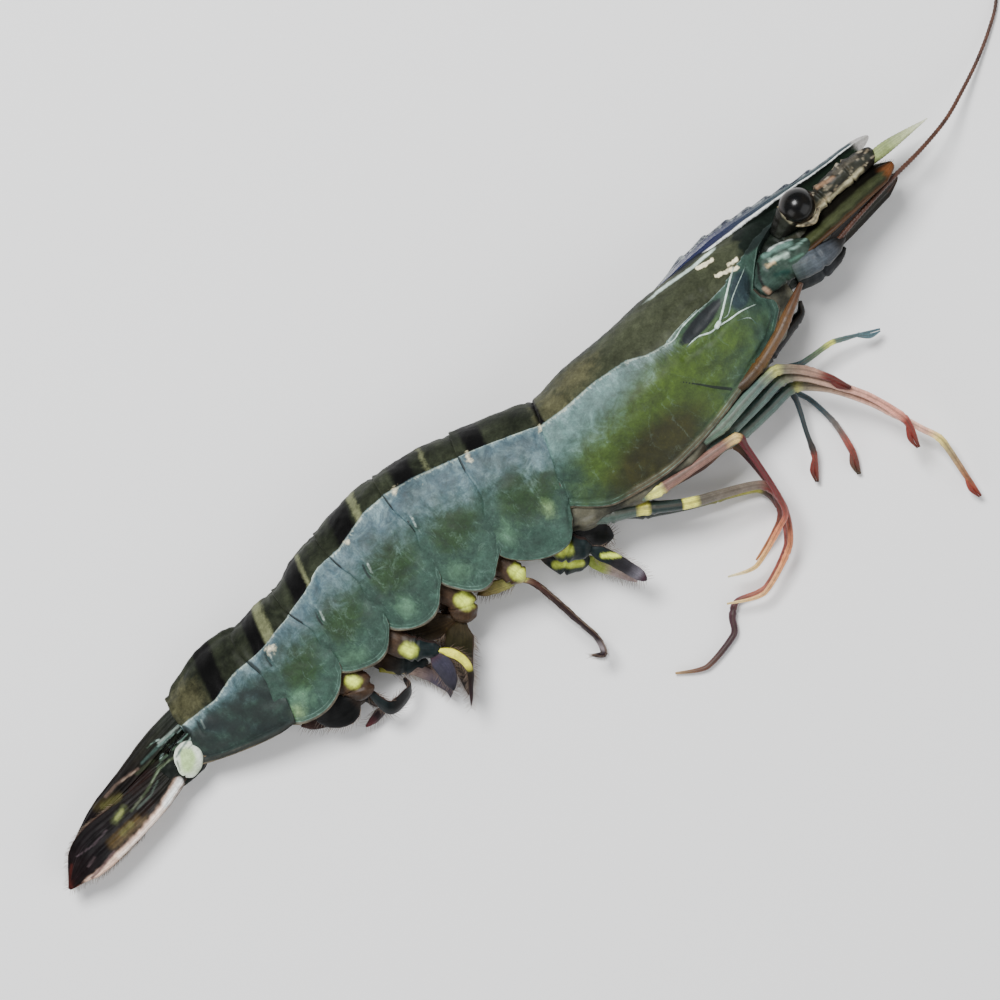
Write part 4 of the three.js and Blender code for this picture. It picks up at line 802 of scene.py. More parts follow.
def beak():
    """The beak's blade, with a sharp keel above, a ridge on each side with a groove over it, and teeth."""
    shape = Shape()
    x = np.concatenate([np.linspace(BEAK_FROM, BEAK_FINE, 100), np.linspace(BEAK_FINE, BEAK_END, 40)[1:]])
    rows, middle = beak_rows(x)
    top, ridge, low, half = (rows[:, i : i + 1] for i in range(1, 5))
    blunt = np.sqrt(np.clip((BEAK_POINT - x) / 3, 0.004, 1))[:, None]
    # height share from the top keel down, and width share there
    profile = np.array([[1.0, 0.0], [0.98, 0.1], [0.9, 0.16], [0.7, 0.18], [0.45, 0.24], [0.25, 0.5],
                        [0.12, 0.82], [0.0, 1.0], [-0.12, 0.92], [-0.3, 0.66], [-0.5, 0.45], [-0.7, 0.3],
                        [-0.9, 0.2], [-0.98, 0.12], [-1.0, 0.0]])
    share = smooth(profile, np.linspace(0, len(profile) - 1, 57))
    height, width = share[None, :, 0], np.maximum(share[None, :, 1], 0)
    y = np.where(height > 0, ridge + (top - ridge) * height, ridge + (ridge - low) * height)
    y = low + 0.5 * (top - low) * (1 - blunt) + (y - low) * np.where(blunt < 1, blunt, 1)
    w = half * width * blunt
    y, w = mirrored(y), mirrored(w, -1)
    h = mirrored(np.broadcast_to(height, (len(x), share.shape[0])))
    rings = np.dstack([np.broadcast_to(x[:, None], y.shape), y, middle[:, None] + w])
    rings[..., 1] += 0.05 * ripple(rings, 3, 8)
    shape.loft(rings, mark=h, along=(x[:, None] - BEAK_FROM) / BEAK_LONG)
    for x0, side in [(x, 1) for x in TOP_TEETH] + [(x, -1) for x in LOWER_TEETH]:
        t = np.linspace(0, 1, 12)
        at = x0 + 4.6 * t
        rows, middle = beak_rows(at)
        edge = rows[:, 1 if side > 0 else 3]
        tall = 0.3 + 0.55 * t**1.3 - 0.6 * step_up(t, 0.86, 1.0)
        thick = 0.42 * (1 - 0.7 * t) * np.sqrt(np.clip(1.02 - t, 0.01, 1) * 1.2)
        angle = np.linspace(0, 2 * math.pi, 10, endpoint=False)[None]
        up = edge[:, None] + side * (tall[:, None] * (0.5 + 0.5 * np.cos(angle)) - 0.35)
        out = middle[:, None] + thick[:, None] * np.sin(angle)
        rings = np.dstack([np.broadcast_to(at[:, None], up.shape), up, out])
        shape.loft(rings, mark=1.0, along=(at[:, None] - BEAK_FROM) / BEAK_LONG + 0 * up)
    return shape


# ---- Limbs ----


def tints(stops, place):
    """Colours that run smoothly through stops of (place, hex code)."""
    at = [stop[0] for stop in stops]
    codes = np.array([linear(stop[1]) for stop in stops])
    return columns(place, at, codes)


class Sweep:
    """Rings along a smooth curve through points. wide and thick are half sizes at each point, and wide is
    measured along the direction across. The limb swells and then narrows at each joint."""

    def __init__(self, path, wide, thick=None, across=(0, 0, 1), sides=14, step=0.45, joints=(), stiff=0.3):
        path = np.array(path, float)
        thick = wide if thick is None else thick
        last = len(path) - 1
        dense = np.linspace(0, last, 60 * last + 1)
        straight = columns(dense, np.arange(last + 1), path)
        curve = smooth(path, dense) * (1 - stiff) + straight * stiff
        run = np.concatenate([[0], np.cumsum(np.linalg.norm(np.diff(curve, axis=0), axis=1))])
        self.length = run[-1]
        self.along = np.linspace(0, self.length, max(int(self.length / step), 6) + 1)
        self.place = np.interp(self.along, run, dense)
        self.centre = columns(self.along, run, curve)
        way = np.gradient(self.centre, axis=0)
        for _ in range(2):
            way[1:-1] = (way[:-2] + way[1:-1] + way[2:]) / 3
        self.way = way / np.linalg.norm(way, axis=1)[:, None]
        out = np.array(across, float) - self.way * (self.way @ np.array(across, float))[:, None]
        self.out = out / np.linalg.norm(out, axis=1)[:, None]
        self.over = np.cross(self.way, self.out)
        swell = np.ones_like(self.along)
        for k in joints:
            away = self.along - np.interp(k, dense, run)
            swell += 0.26 * hump(away, 0, 0.9) - 0.34 * hump(away, 0, 0.26)
        rows = smooth(np.array([wide, thick], float).T, self.place)
        self.wide, self.thick = np.maximum(rows.T, 0.07) * swell
        self.angle = np.linspace(0, 2 * math.pi, sides, endpoint=False)

    def rings(self, relief=0.0):
        """The rings, with relief added to each radius."""
        side = self.out[:, None] * ((self.wide[:, None] + relief) * np.cos(self.angle))[..., None]
        up = self.over[:, None] * ((self.thick[:, None] + relief) * np.sin(self.angle))[..., None]
        return on_floor(self.centre[:, None] + side + up)

    def values(self, stops):
        """What the limb materials read: colour, distance along and place across."""
        return {
            "tint": tints(stops, self.place)[:, None],
            "along": self.along[:, None] / 100,
            "cross": np.cos(self.angle)[None],
            "round": np.sin(self.angle)[None],
        }


def limb_material(name, fibre_scale, gloss, subsurface, edge, ribs, sheen):
    """A skin whose colour comes from the limb, with fine lines along it and speckles. edge is the colour of a
    blade's two edges, ribs how bold its fine ribs are, and sheen how much it reflects."""
    return material(name, ("tint", "along", "cross", "round"), [
        ("run", "Math", TIMES, {0: "along.Fac", 1: 0.12}),
        ("fibre_place", "CombineXYZ", {}, {"X": "cross.Fac", "Y": "round.Fac", "Z": "run"}),
        ("fibres", "TexNoise", {}, {"Vector": "fibre_place", "Scale": fibre_scale, "Detail": 4,
                                    "Roughness": 0.65}),
        ("mottle", "TexNoise", {}, {"Vector": "place.Object", "Scale": per(1.4), "Detail": 5,
                                    "Roughness": 0.68}),
        ("grain", "TexNoise", {}, {"Vector": "place.Object", "Scale": per(0.3), "Detail": 3}),
        *shaded("skin", "tint.Color", [
            ("fibres", 0.3, 0.7, 1 - ribs, 1 + ribs), ("mottle", 0.3, 0.7, 0.68, 1.3),
            ("grain", 0.3, 0.7, 0.85, 1.12),
        ]),
        ("off_middle", "Math", ABSOLUTE, {0: "cross.Fac"}),
        *layers("skin", [("edged", "off_middle", {"fibres": 0.12}, 0.97, 1.03, 0.5, edge)]),
        ("gloss", "MapRange", {}, {"Value": "mottle", "From Min": 0.3, "From Max": 0.7,
                                   "To Min": gloss - 0.08, "To Max": gloss + 0.1}),
        ("fine", "Bump", {}, {"Height": "grain", "Strength": 0.2, "Distance": 0.05 * MM}),
        ("lines", "Bump", {}, {"Height": "fibres", "Strength": 0.5, "Distance": 0.15 * MM, "Normal": "fine"}),
    ], {
        "Base Color": "edged", "Roughness": "gloss", "Normal": "lines", "IOR": 1.54,
        "Specular IOR Level": sheen, "Subsurface Weight": subsurface,
        "Subsurface Radius": (0.0012, 0.0008, 0.0005),
        "Subsurface Scale": 1.0,
    })


# ---- Walking legs ----

# The points along each leg, near its joints, and its half thickness at each. joints are the points where it
# bends, and colours run through stops of (point, hex code).
LEGS = {
    "maxilliped_right": {
        "path": [(41.5, -12.6, 15.4), (46.3, -13.6, 16.2), (51.4, -12.9, 16.6), (56.9, -11.2, 16.6),
                 (61.5, -9.2, 16), (65.9, -7.2, 15.2)],
        "half": [1.4, 1.3, 1.2, 1.15, 1.05, 0.5], "joints": [1.8, 3.4],
        "colours": [(0, "#221c10"), (1, "#3d2c16"), (2, "#5c411f"), (3.5, "#624528"), (4.4, "#52341f"),
                    (5, "#4a3224")],
    },
    # the left one lies under the body: its near-black colours are painted shade
    "maxilliped_left": {
        "path": [(42, -13.2, 6.6), (48.2, -13.6, 5.6), (55.1, -12.8, 5), (60.1, -11.9, 4.6),
                 (63.3, -11.3, 4.4), (64.6, -9.6, 4.8)],
        "half": [1.4, 1.5, 1.5, 1.3, 0.9, 0.4], "joints": [1.8, 3.4],
        "colours": [(0, "#0b0b08"), (2, "#090807"), (4, "#070605"), (5, "#34322e")],
    },
    "pereiopod_1_right": {
        "path": [(34, -16.4, 15.8), (38.2, -16.8, 16.2), (45.2, -16, 15.8), (51.9, -15.7, 15),
                 (55.9, -19, 14), (58.6, -23.3, 13), (60.3, -27.1, 12.4)],
        "half": [1.2, 1.25, 1.25, 1.1, 0.95, 0.8, 0.3], "joints": [1, 3, 4.2], "pincer": True,
        "colours": [(0, "#516455"), (1, "#607565"), (2.4, "#556a63"), (2.75, "#798565"), (3.0, "#c6c870"),
                    (3.3, "#716c5b"), (4.4, "#ae8775"), (4.8, "#6a2d27"), (6, "#4c1b18")],
    },
    "pereiopod_2_right": {
        "path": [(32, -17, 12), (39.4, -18.3, 12.2), (46.4, -18.1, 12.4), (52.2, -17.8, 12.4),
                 (55.8, -20.6, 12), (61.6, -30, 10.6), (64, -38, 9.2), (62.6, -43.5, 8.4)],
        "half": [1.3, 1.3, 1.25, 1.1, 1, 0.8, 0.85, 0.3], "joints": [1, 3, 4.6, 5.9], "pincer": True,
        "colours": [(0, "#4f6053"), (1, "#54685f"), (2.6, "#4e625d"), (3, "#6c735a"), (3.4, "#736e5c"),
                    (4, "#ac917d"), (5, "#e5a894"), (5.8, "#e79b87"), (6.05, "#87362d"), (6.6, "#7c2b23"),
                    (7, "#56231a")],
    },
    "pereiopod_3_right": {
        "path": [(25.4, -17.4, 10.4), (40.3, -20.2, 9.4), (47.2, -20.3, 9.2), (53, -20.3, 9),
                 (57.7, -24.8, 8.4), (61.6, -31.7, 7.4), (65.3, -41.2, 5.8), (66.8, -45.5, 5),
                 (65.9, -53.7, 3.2), (65.6, -58, 2.4)],
        "half": [1.5, 1.4, 1.3, 1.15, 1, 0.85, 0.75, 0.75, 0.65, 0.25], "joints": [1, 3, 5.4, 7],
        "pincer": True,
        "colours": [(0, "#515344"), (1, "#4f6359"), (2.5, "#495e59"), (2.9, "#4d5d4e"), (3.05, "#a8a85d"),
                    (3.3, "#78735f"), (4, "#b99c87"), (5, "#efbca6"), (6.2, "#f3bea6"), (6.9, "#f5df7f"),
                    (7.3, "#a8956b"), (8, "#975d3b"), (8.45, "#913f2d"), (8.8, "#792b21"), (9, "#542218")],
    },
    "pereiopod_4_right": {
        "path": [(16.8, -14.6, 14.2), (21.8, -17.4, 15.2), (31.1, -18.9, 14.9), (38.8, -20, 14.6),
                 (39, -22.8, 13.8), (38, -31.1, 11.8), (36.7, -36, 10.6), (34.2, -37.3, 10),
                 (26.4, -39.9, 7), (21.4, -38, 5.4)],
        "half": [1.6, 1.4, 1.15, 1.05, 0.76, 0.66, 0.62, 0.58, 0.5, 0.22], "joints": [1.1, 3.2, 5.4, 7.2],
        "colours": [(0, "#edf4aa"), (0.25, "#47574e"), (0.7, "#536257"), (0.84, "#f5f57b"),
                    (1.06, "#f5f57b"), (1.2, "#846459"), (2.6, "#8c695d"), (2.9, "#e3c27b"),
                    (3.1, "#e3c27b"), (3.3, "#531d23"), (4.6, "#602228"), (5.6, "#75312c"),
                    (6.4, "#a5594a"), (7.2, "#e79063"), (8, "#f5cb7f"), (9, "#f5ecbd")],
    },
    "pereiopod_5_right": {
        "path": [(9.2, -12.4, 13.2), (12.8, -15, 13.2), (17.9, -18.2, 12.4), (24.8, -23.1, 11.6),
                 (36.8, -29.4, 9.2), (37.4, -35.2, 7.4), (33.6, -41.2, 5.8), (24.4, -44.7, 4.4),
                 (18, -41.6, 3.8)],
        "half": [1.9, 1.8, 1.45, 1.2, 0.95, 0.7, 0.62, 0.5, 0.22], "joints": [1, 2.2, 4.2, 6.2],
        "colours": [(0, "#e1e8af"), (0.3, "#47554c"), (1.8, "#43524b"), (1.9, "#dcd763"), (2.1, "#dcd763"),
                    (2.2, "#293634"), (2.86, "#2c3734"), (2.9, "#f5f367"), (3.08, "#f5f367"),
                    (3.16, "#605b51"), (3.9, "#786c60"), (4.15, "#703431"), (5.4, "#944c40"),
                    (6.3, "#e08f5c"), (8, "#f5d78f")],
    },
    "pereiopod_1_left": {
        "path": [(38, -15.4, 7.4), (45, -15.8, 7.8), (52.1, -15.8, 7.8), (56.9, -18.1, 7.3),
                 (63.3, -18.9, 6.2), (65.7, -19.9, 5.6), (72.1, -23.1, 3.2)],
        "half": [1.2, 1.0, 0.85, 0.68, 0.56, 0.52, 0.24], "joints": [1, 4, 5], "pincer": True,
        "colours": [(0, "#242e28"), (3, "#3b4c4e"), (3.7, "#657a56"), (4.1, "#f2f56c"), (4.4, "#677c6c"),
                    (5.2, "#516769"), (6, "#52717c")],
    },
    "pereiopod_2_left": {
        "path": [(32, -16, 6.4), (40, -17.2, 6), (49.3, -17.8, 5.6), (52.3, -21.3, 5.2), (49.5, -28.4, 3.6),
                 (48.1, -32, 2.6), (45.3, -36.3, 1.6)],
        "half": [1.2, 1.0, 0.85, 0.62, 0.52, 0.66, 0.28], "joints": [1, 3, 4.8], "pincer": True,
        "colours": [(0, "#222a26"), (3, "#324148"), (4, "#273437"), (4.8, "#372a28"), (5.05, "#7d362d"),
                    (5.7, "#6b2a23"), (6, "#372316")],
    },
    "pereiopod_3_left": {
        "path": [(27.5, -16.4, 5), (33.6, -17.8, 3.4), (46, -18.8, 2.6), (51.8, -20.2, 2.4),
                 (54.1, -23.8, 2.2), (54.7, -30.2, 1.9), (53.7, -36.3, 1.4), (52, -40.4, 1.1)],
        "half": [1.3, 1.0, 0.82, 0.7, 0.6, 0.6, 0.76, 0.28], "joints": [1, 3, 5], "pincer": True,
        "colours": [(0, "#202924"), (3, "#485b60"), (4.5, "#35484f"), (5.2, "#6e6560"), (5.7, "#91473d"),
                    (6.4, "#672d26"), (7, "#353222")],
    },
    "pereiopod_4_left": {
        "path": [(19.6, -15.4, 7.4), (24, -18, 6.4), (31.1, -19.8, 5.8), (38.2, -20.8, 4.8),
                 (38.2, -30.6, 4.6), (36.2, -35.9, 3.4), (32.8, -37.8, 2.6), (27.4, -39.4, 1.4)],
        "half": [1.4, 1.15, 1.0, 0.85, 0.6, 0.55, 0.5, 0.22], "joints": [1, 3, 5],
        "colours": [(0, "#20281f"), (2, "#543b33"), (3, "#775835"), (3.4, "#3d1419"), (5, "#5f2b26"),
                    (6, "#925740"), (7, "#c6844f")],
    },
    "pereiopod_5_left": {
        "path": [(12.8, -14.4, 6.6), (18, -19.2, 5.4), (24.9, -23.6, 4.4), (36.2, -29.8, 1.8),
                 (37.0, -35.2, 1.3), (33.4, -41.0, 1.2), (25.4, -44.2, 1.1), (19.8, -42.6, 1.1),
                 (17.2, -44.2, 1.1), (15.2, -46.8, 1.1), (7.7, -47.9, 1), (2.6, -44.9, 0.8)],
        "half": [1.6, 1.3, 1.1, 0.95, 0.7, 0.6, 0.55, 0.6, 0.75, 0.72, 0.6, 0.25], "joints": [1, 2.4, 4, 7.6],
        "colours": [(0, "#202822"), (2, "#1f2823"), (2.85, "#9a9846"), (3.0, "#9a9846"), (3.2, "#423b33"),
                    (4.2, "#6f3330"), (5.4, "#914a3f"), (6.2, "#b06652"), (7, "#603237"), (7.6, "#3e1f28"),
                    (9.4, "#361a21"), (10.3, "#654230"), (11, "#a98858")],
    },
}
PINCER_LENGTH, PINCER_OPEN = 4.4, 0.75


def leg(path, half, joints, colours, pincer=False):
    """One leg, with a second finger beside its tip if it has a pincer."""
    shape = Shape()
    run = Sweep(path, half, thick=[0.86 * h for h in half], joints=joints)
    shape.loft(run.rings(), **run.values(colours))
    if pincer:
        tip = np.array(path[-1], float)
        back = np.array(path[-2], float) - tip
        back /= np.linalg.norm(back)
        side = np.array([-back[1], back[0], 0]) / np.hypot(*back[:2])
        points = [tip + back * PINCER_LENGTH, tip + back * PINCER_LENGTH * 0.5 + side * PINCER_OPEN,
                  tip + side * PINCER_OPEN * 0.5]
        finger = Sweep(points, [0.5, 0.48, 0.12], sides=10, step=0.3)
        values = finger.values(colours)
        values["tint"] = tints(colours, len(path) - 1.6 + 0.3 * finger.place)[:, None]
        shape.loft(finger.rings(), **values)
    return shape


# ---- Swimming legs ----

FLAT_X, FLAT_Y, ON_EDGE, CURLED = (1, 0, 0.3), (0, 1, 0.3), (0.35, 0, 1), (0.5, 0.6, 0.6)
BROWN, YELLOW, TEAL, BLACK = "#3c2d21", "#dcee5c", "#101b1c", "#080909"
# For each pair, front to back: stem, outer blade and inner blade on the right, each with its path, its half
# widths, the direction that its width runs in, and its colours. The left one lies lower and shifted. Yellow
# spots are lines seen from the side, with their half widths.
SWIMMERETS = [
    {
        "stem": ([(2.2, -8.6, 12), (2.8, -13.6, 12.6), (6.4, -17.4, 12)], [2.2, 2.6, 2], FLAT_X,
                 [(0, BROWN), (0.4, BROWN), (0.8, TEAL), (2, TEAL)]),
        "outer": ([(6, -17, 12), (7.9, -21.3, 11.2), (9.1, -24.9, 10), (10, -28.4, 8.8)],
                  [1.7, 1.5, 1.4, 1.2], FLAT_X,
                  # a painted highlight: the grey stop before the blade's purple tip
                  [(0, TEAL), (0.9, TEAL), (1.1, "#1d1c1e"), (1.9, "#28262a"), (2.4, "#656169"),
                   (2.7, "#36222c"), (3, "#1e1119")]),
        "inner": ([(3.4, -12.6, 11.8), (8.2, -15.6, 10), (10.8, -18.6, 9.2)], [2, 2.5, 2], FLAT_X,
                  [(0, TEAL), (0.6, BLACK), (2, BLACK)]),
        "shift": (-1.7, -1.6),
        "spots": [([(2.4, -13.8), (2.8, -14.2)], 1.9), ([(7.0, -19.8), (9.4, -21.7)], 0.6)],
        "left_spots": [([(-0.4, -15.4), (3.3, -18.4)], 0.9)],
        "left_outer": ([(4.5, -17.8, 5.2), (5.8, -21.6, 4.6), (7.4, -24.4, 3.8), (8.6, -27.6, 2.8)],
                       [1.5, 1.3, 1.2, 0.8], FLAT_X,
                       [(0, "#92a04a"), (1, "#92a04a"), (1.5, "#a09189"), (3, "#816f74")]),
    },
    {
        "stem": ([(-8.8, -4.6, 11.8), (-7, -11, 12.4), (-6.5, -13.7, 12)], [2.6, 2, 1.4], FLAT_X,
                 [(0, BROWN), (1.5, BROWN), (1.9, "#958465"), (2, "#664b3c")]),
        "outer": ([(-6.6, -13.2, 12), (-5.2, -15.4, 11.6), (-4.5, -20, 10.4), (-4, -25.2, 8.8),
                   (-3.5, -30.4, 7), (-4.6, -33.4, 6), (-6.4, -32.2, 5.6)],
                  [0.7, 0.55, 0.5, 0.55, 0.6, 0.7, 0.3], ON_EDGE,
                  [(0, "#7c6551"), (1, "#432922"), (2, "#2a1a18"), (4, "#201316"), (4.5, "#887e80"),
                   (4.8, "#201319"), (6, "#1c1116")]),
        "inner": ([(-6.8, -13, 11.6), (-11, -11.2, 9.8), (-14.5, -10, 8)], [0.9, 1.4, 0.8], FLAT_Y,
                  [(0, "#888e4b"), (1, "#7d753f"), (2, "#5b4129")]),
        "shift": (-0.6, 0.3),
        "spots": [([(-6.4, -11.4), (-6.2, -12.3)], 1.7)],
        "left_spots": [([(-10.8, -11.5), (-10.2, -11.9)], 0.8)],
    },
    {
        "stem": ([(-18.6, -3.5, 11.2), (-17.4, -8.8, 10.8), (-19.6, -12, 9.4)], [2.8, 2.4, 2.4], FLAT_X,
                 [(0, BROWN), (1.35, BROWN), (2, "#362818")]),
        "outer": ([(-19.8, -11.6, 9), (-23, -14.6, 8.2), (-25.2, -18.6, 7.4), (-27.8, -22.4, 6.6)],
                  [2.6, 2.8, 1.6, 0.5], FLAT_X,
                  [(0, "#312817"), (1, "#232112"), (2, "#14100b"), (3, "#120a08")]),
        "inner": ([(-20.4, -10.4, 8.6), (-25.8, -8.4, 8), (-29.6, -5.6, 7.6)], [2.4, 2.4, 1.6], FLAT_Y,
                  [(0, "#362818"), (1, "#2a2215"), (2, "#120e0b")]),
        "shift": (-1.5, 0.3),
        "spots": [([(-16.9, -8.8), (-16.6, -9.5)], 1.9)], "left_spots": [],
    },
    {
        "stem": ([(-32, -4, 11), (-29.8, -8.9, 11.6), (-25.9, -12.7, 11.2)], [2.8, 2.2, 1.5], FLAT_X,
                 [(0, BROWN), (0.6, BROWN), (1.2, TEAL), (2, TEAL)]),
        "outer": ([(-26.4, -12.3, 11.2), (-24.4, -15.6, 10.8), (-24.4, -19, 10), (-26.8, -22, 9),
                   (-28.9, -24.3, 8)], [0.95, 1.0, 0.75, 0.5, 0.25], FLAT_X,
                  [(0, "#e6e250"), (1.8, "#dfdc4c"), (2.1, "#1a120d"), (3, "#1d1113"), (4, "#351f23")]),
        "inner": ([(-27.6, -12, 11), (-27.6, -16, 10), (-29.1, -19.9, 9.2)], [1.5, 1.9, 0.9], FLAT_X,
                  [(0, "#411e1f"), (0.6, "#353341"), (1.4, "#282630"), (2, "#161419")]),
        "shift": (-3.6, -0.6),
        "spots": [([(-30.3, -8.8), (-30.0, -9.4)], 1.7)], "left_spots": [],
        "left_outer": ([(-36.9, -8.2, 4.6), (-33.3, -10.9, 4.8), (-31.1, -14.2, 4.4), (-29.8, -18.8, 3.6),
                        (-30.7, -20.7, 3)], [1.4, 1.4, 1.4, 1.1, 0.5], FLAT_X,
                       [(0, "#a3a341"), (0.8, "#a19964"), (1.4, "#988277"), (2.4, "#413b46"),
                        (4, "#1d1921")]),
    },
    {
        "stem": ([(-43.6, -2.6, 9.6), (-41.6, -7.2, 10), (-43, -9.8, 9.4)], [3.2, 2.8, 2.4], FLAT_X,
                 [(0, BROWN), (1.3, BROWN), (2, "#1c140e")]),
        "outer": ([(-42.6, -9.4, 9.2), (-47.1, -9.1, 8.6), (-51.2, -7.3, 7.6)], [2.4, 3.2, 1.8], FLAT_Y,
                  [(0, "#291c13"), (0.5, BLACK), (2, BLACK)]),
        "inner": ([(-40.4, -8.6, 9.2), (-40.5, -12.1, 8.4), (-39.7, -14.7, 7.8), (-37.3, -15, 7.4),
                   (-34.9, -14.2, 7), (-34.4, -12.3, 6.8)], [1.0, 1.2, 1.7, 1.8, 1.6, 0.8], CURLED,
                  [(0, TEAL), (1.4, "#0f1819"), (2.4, BLACK), (5, "#111013")]),
        "shift": (-2, -0.4),
        "spots": [([(-41.6, -6.4), (-41.2, -6.8)], 1.5)], "left_spots": [],
        "left_outer": ([(-42.6, -9.8, 3.8), (-40.6, -13.3, 3.6), (-43, -14.3, 3), (-45.7, -14.3, 2.4)],
                       [1.5, 1.5, 1.2, 0.7], CURLED, [(0, BLACK), (2, "#1e0f14"), (3, "#5a252a")]),
        "left_inner": ([(-44, -9, 3.6), (-49.6, -8.6, 3), (-54.4, -6.4, 2.4)], [1.8, 1.9, 0.9], FLAT_Y,
                       [(0, "#1d130e"), (1, "#120b0b"), (2, "#412922")]),
    },
]
SWIMMERET_FALL = 6.8
BLADE_HALF_THICKNESS = 0.5


def swimmeret(pair, side, hairs):
    """One swimming leg. Its blades give the places of their fringes to hairs."""
    shape = Shape()
    shift = (*pair["shift"], 0)

    def lowered(path, fade):
        if side > 0:
            return path
        path = np.array(path, float)
        share = np.linspace(1, 0, len(path))[:, None] if fade else 1.0
        path = path + np.array(shift) * share - np.array([0, 0, SWIMMERET_FALL])
        path[:, 2] = np.maximum(path[:, 2], 1.3)
        return path

    path, half, across, colours = pair["stem"]
    run = Sweep(lowered(path, False), half, [0.62 * h for h in half], across, sides=48, step=0.22,
                joints=[1.2], stiff=0.1)
    run.wide[0] *= 0.6
    end = np.sqrt(np.clip((run.length - run.along) / 1.4 + 0.12, 0, 1))
    run.wide, run.thick = run.wide * end, run.thick * end
    rings = run.rings(0.12 * ripple(run.rings(), 2.2, 5))
    spots = [(line, size, YELLOW) for line, size in pair["spots" if side > 0 else "left_spots"]]
    shape.loft(rings, **painted_values(run, rings, colours, spots))
    for key in ("outer", "inner"):
        own = side < 0 and "left_" + key in pair
        path, half, across, colours = pair["left_" + key] if own else pair[key]
        thick = [min(h, BLADE_HALF_THICKNESS) for h in half]
        run = Sweep(path if own else lowered(path, True), half, thick, across, sides=24, step=0.35,
                    stiff=0.05)
        tip = np.sqrt(np.clip((run.length - run.along) / 1.6 + 0.05, 0, 1))
        root = 0.45 + 0.55 * step_up(run.along, 0, 2.6)
        run.wide, run.thick = run.wide * tip * root, run.thick * (0.4 + 0.6 * tip)
        # a rib down the middle, thin edges and a slight crinkle
        c = np.cos(run.angle)[None]
        relief = -0.22 * np.minimum(np.abs(c), 1) * run.thick[:, None] + 0.06 * ripple(run.rings(), 1.6, 9)
        rings = run.rings(relief)
        shape.loft(rings, **painted_values(run, rings, colours, spots))
        hairs.edges(run, start=0.15)
    return shape


class Hairs:
    """The roots of hairs, which way each leans, and how long it is."""

    def __init__(self):
        self.roots, self.leans, self.reach = [], [], []

    def edges(self, run, start=0.0, end=1.0, spacing=0.3, reach=1.0, sides=(1, -1), lean=0.9):
        """Hairs along the edges of a blade."""
        count = max(int(run.length * (end - start) / spacing), 2)
        at = np.linspace(start, end, count) * run.length
        for side in sides:
            way, out, centre = (columns(at, run.along, rows) for rows in (run.way, run.out, run.centre))
            wide = np.interp(at, run.along, run.wide)[:, None]
            self.roots.append(centre + side * out * (wide - 0.08))
            direction = side * out + lean * way
            direction[:, 2] *= 0.5
            self.leans.append(direction / np.linalg.norm(direction, axis=1)[:, None])
            self.reach.append(np.full(count, reach))

    def guide(self, name):
        """A mesh of loose points that the fringe grows on."""
        mesh = mesh_of(name, np.vstack(self.roots))
        keep(mesh, "lean", np.vstack(self.leans))
        keep(mesh, "reach", np.concatenate(self.reach))
        return linked(name, mesh)


# ---- Node trees that make what repeats ----


def node_tree(name, inputs, rows):
    """A geometry node tree with named inputs, whose nodes are the rows (label, kind, settings, links)."""
    tree = bpy.data.node_groups.new(name, "GeometryNodeTree")
    tree.interface.new_socket("Geometry", in_out="INPUT", socket_type="NodeSocketGeometry")
    for label, kind in inputs:
        tree.interface.new_socket(label, in_out="INPUT", socket_type="NodeSocket" + kind)
    tree.interface.new_socket("Geometry", in_out="OUTPUT", socket_type="NodeSocketGeometry")
    add(tree, "in", "NodeGroupInput", {}, {})
    for label, kind, settings, links in rows:
        add(tree, label, kind, settings, links)
    add(tree, "out", "NodeGroupOutput", {}, {"Geometry": rows[-1][0]})
    return tree


FRINGE = "Fringe of hairs"
HAIR_DISORDER, HAIR_SEED = 0.22, 4


def fringe_tree():
    """A fringe: one thin cone on each point, leaning along its lean, uneven in length and direction."""
    inputs = [("Length", "Float"), ("Thickness", "Float"), ("Disorder", "Float"), ("Seed", "Int")]
    return node_tree(FRINGE, [*inputs, ("Material", "Material")], [
        ("lean", "GeometryNodeInputNamedAttribute", {"data_type": "FLOAT_VECTOR"}, {"Name": "lean"}),
        ("reach", "GeometryNodeInputNamedAttribute", {"data_type": "FLOAT"}, {"Name": "reach"}),
        ("less", "ShaderNodeMath", TIMES, {0: "in.Disorder", 1: -1.0}),
        ("jitter", "FunctionNodeRandomValue", {"data_type": "FLOAT_VECTOR"},
         {"Min": "less", "Max": "in.Disorder", "Seed": "in.Seed"}),
        ("way", "ShaderNodeVectorMath", {"operation": "ADD"}, {0: "lean", 1: "jitter"}),
        ("turn", "FunctionNodeAlignRotationToVector", {"axis": "Z"}, {"Vector": "way"}),
        ("uneven", "FunctionNodeRandomValue", {"data_type": "FLOAT"},
         {"Min": 0.55, "Max": 1.1, "Seed": "in.Seed"}),
        ("long", "ShaderNodeMath", TIMES, {0: "in.Length", 1: "uneven"}),
        ("long_2", "ShaderNodeMath", TIMES, {0: "long", 1: "reach"}),
        ("size", "ShaderNodeCombineXYZ", {}, {"X": "in.Thickness", "Y": "in.Thickness", "Z": "long_2"}),
        ("hair", "GeometryNodeMeshCone", {}, {"Vertices": 4, "Radius Top": 0.15, "Radius Bottom": 0.5,
                                              "Depth": 1.0}),
        ("hairs", "GeometryNodeInstanceOnPoints", {},
         {"Points": "in.Geometry", "Instance": "hair.Mesh", "Rotation": "turn", "Scale": "size"}),
        ("real", "GeometryNodeRealizeInstances", {}, {"Geometry": "hairs"}),
        ("coated", "GeometryNodeSetMaterial", {}, {"Geometry": "real", "Material": "in.Material"}),
    ])


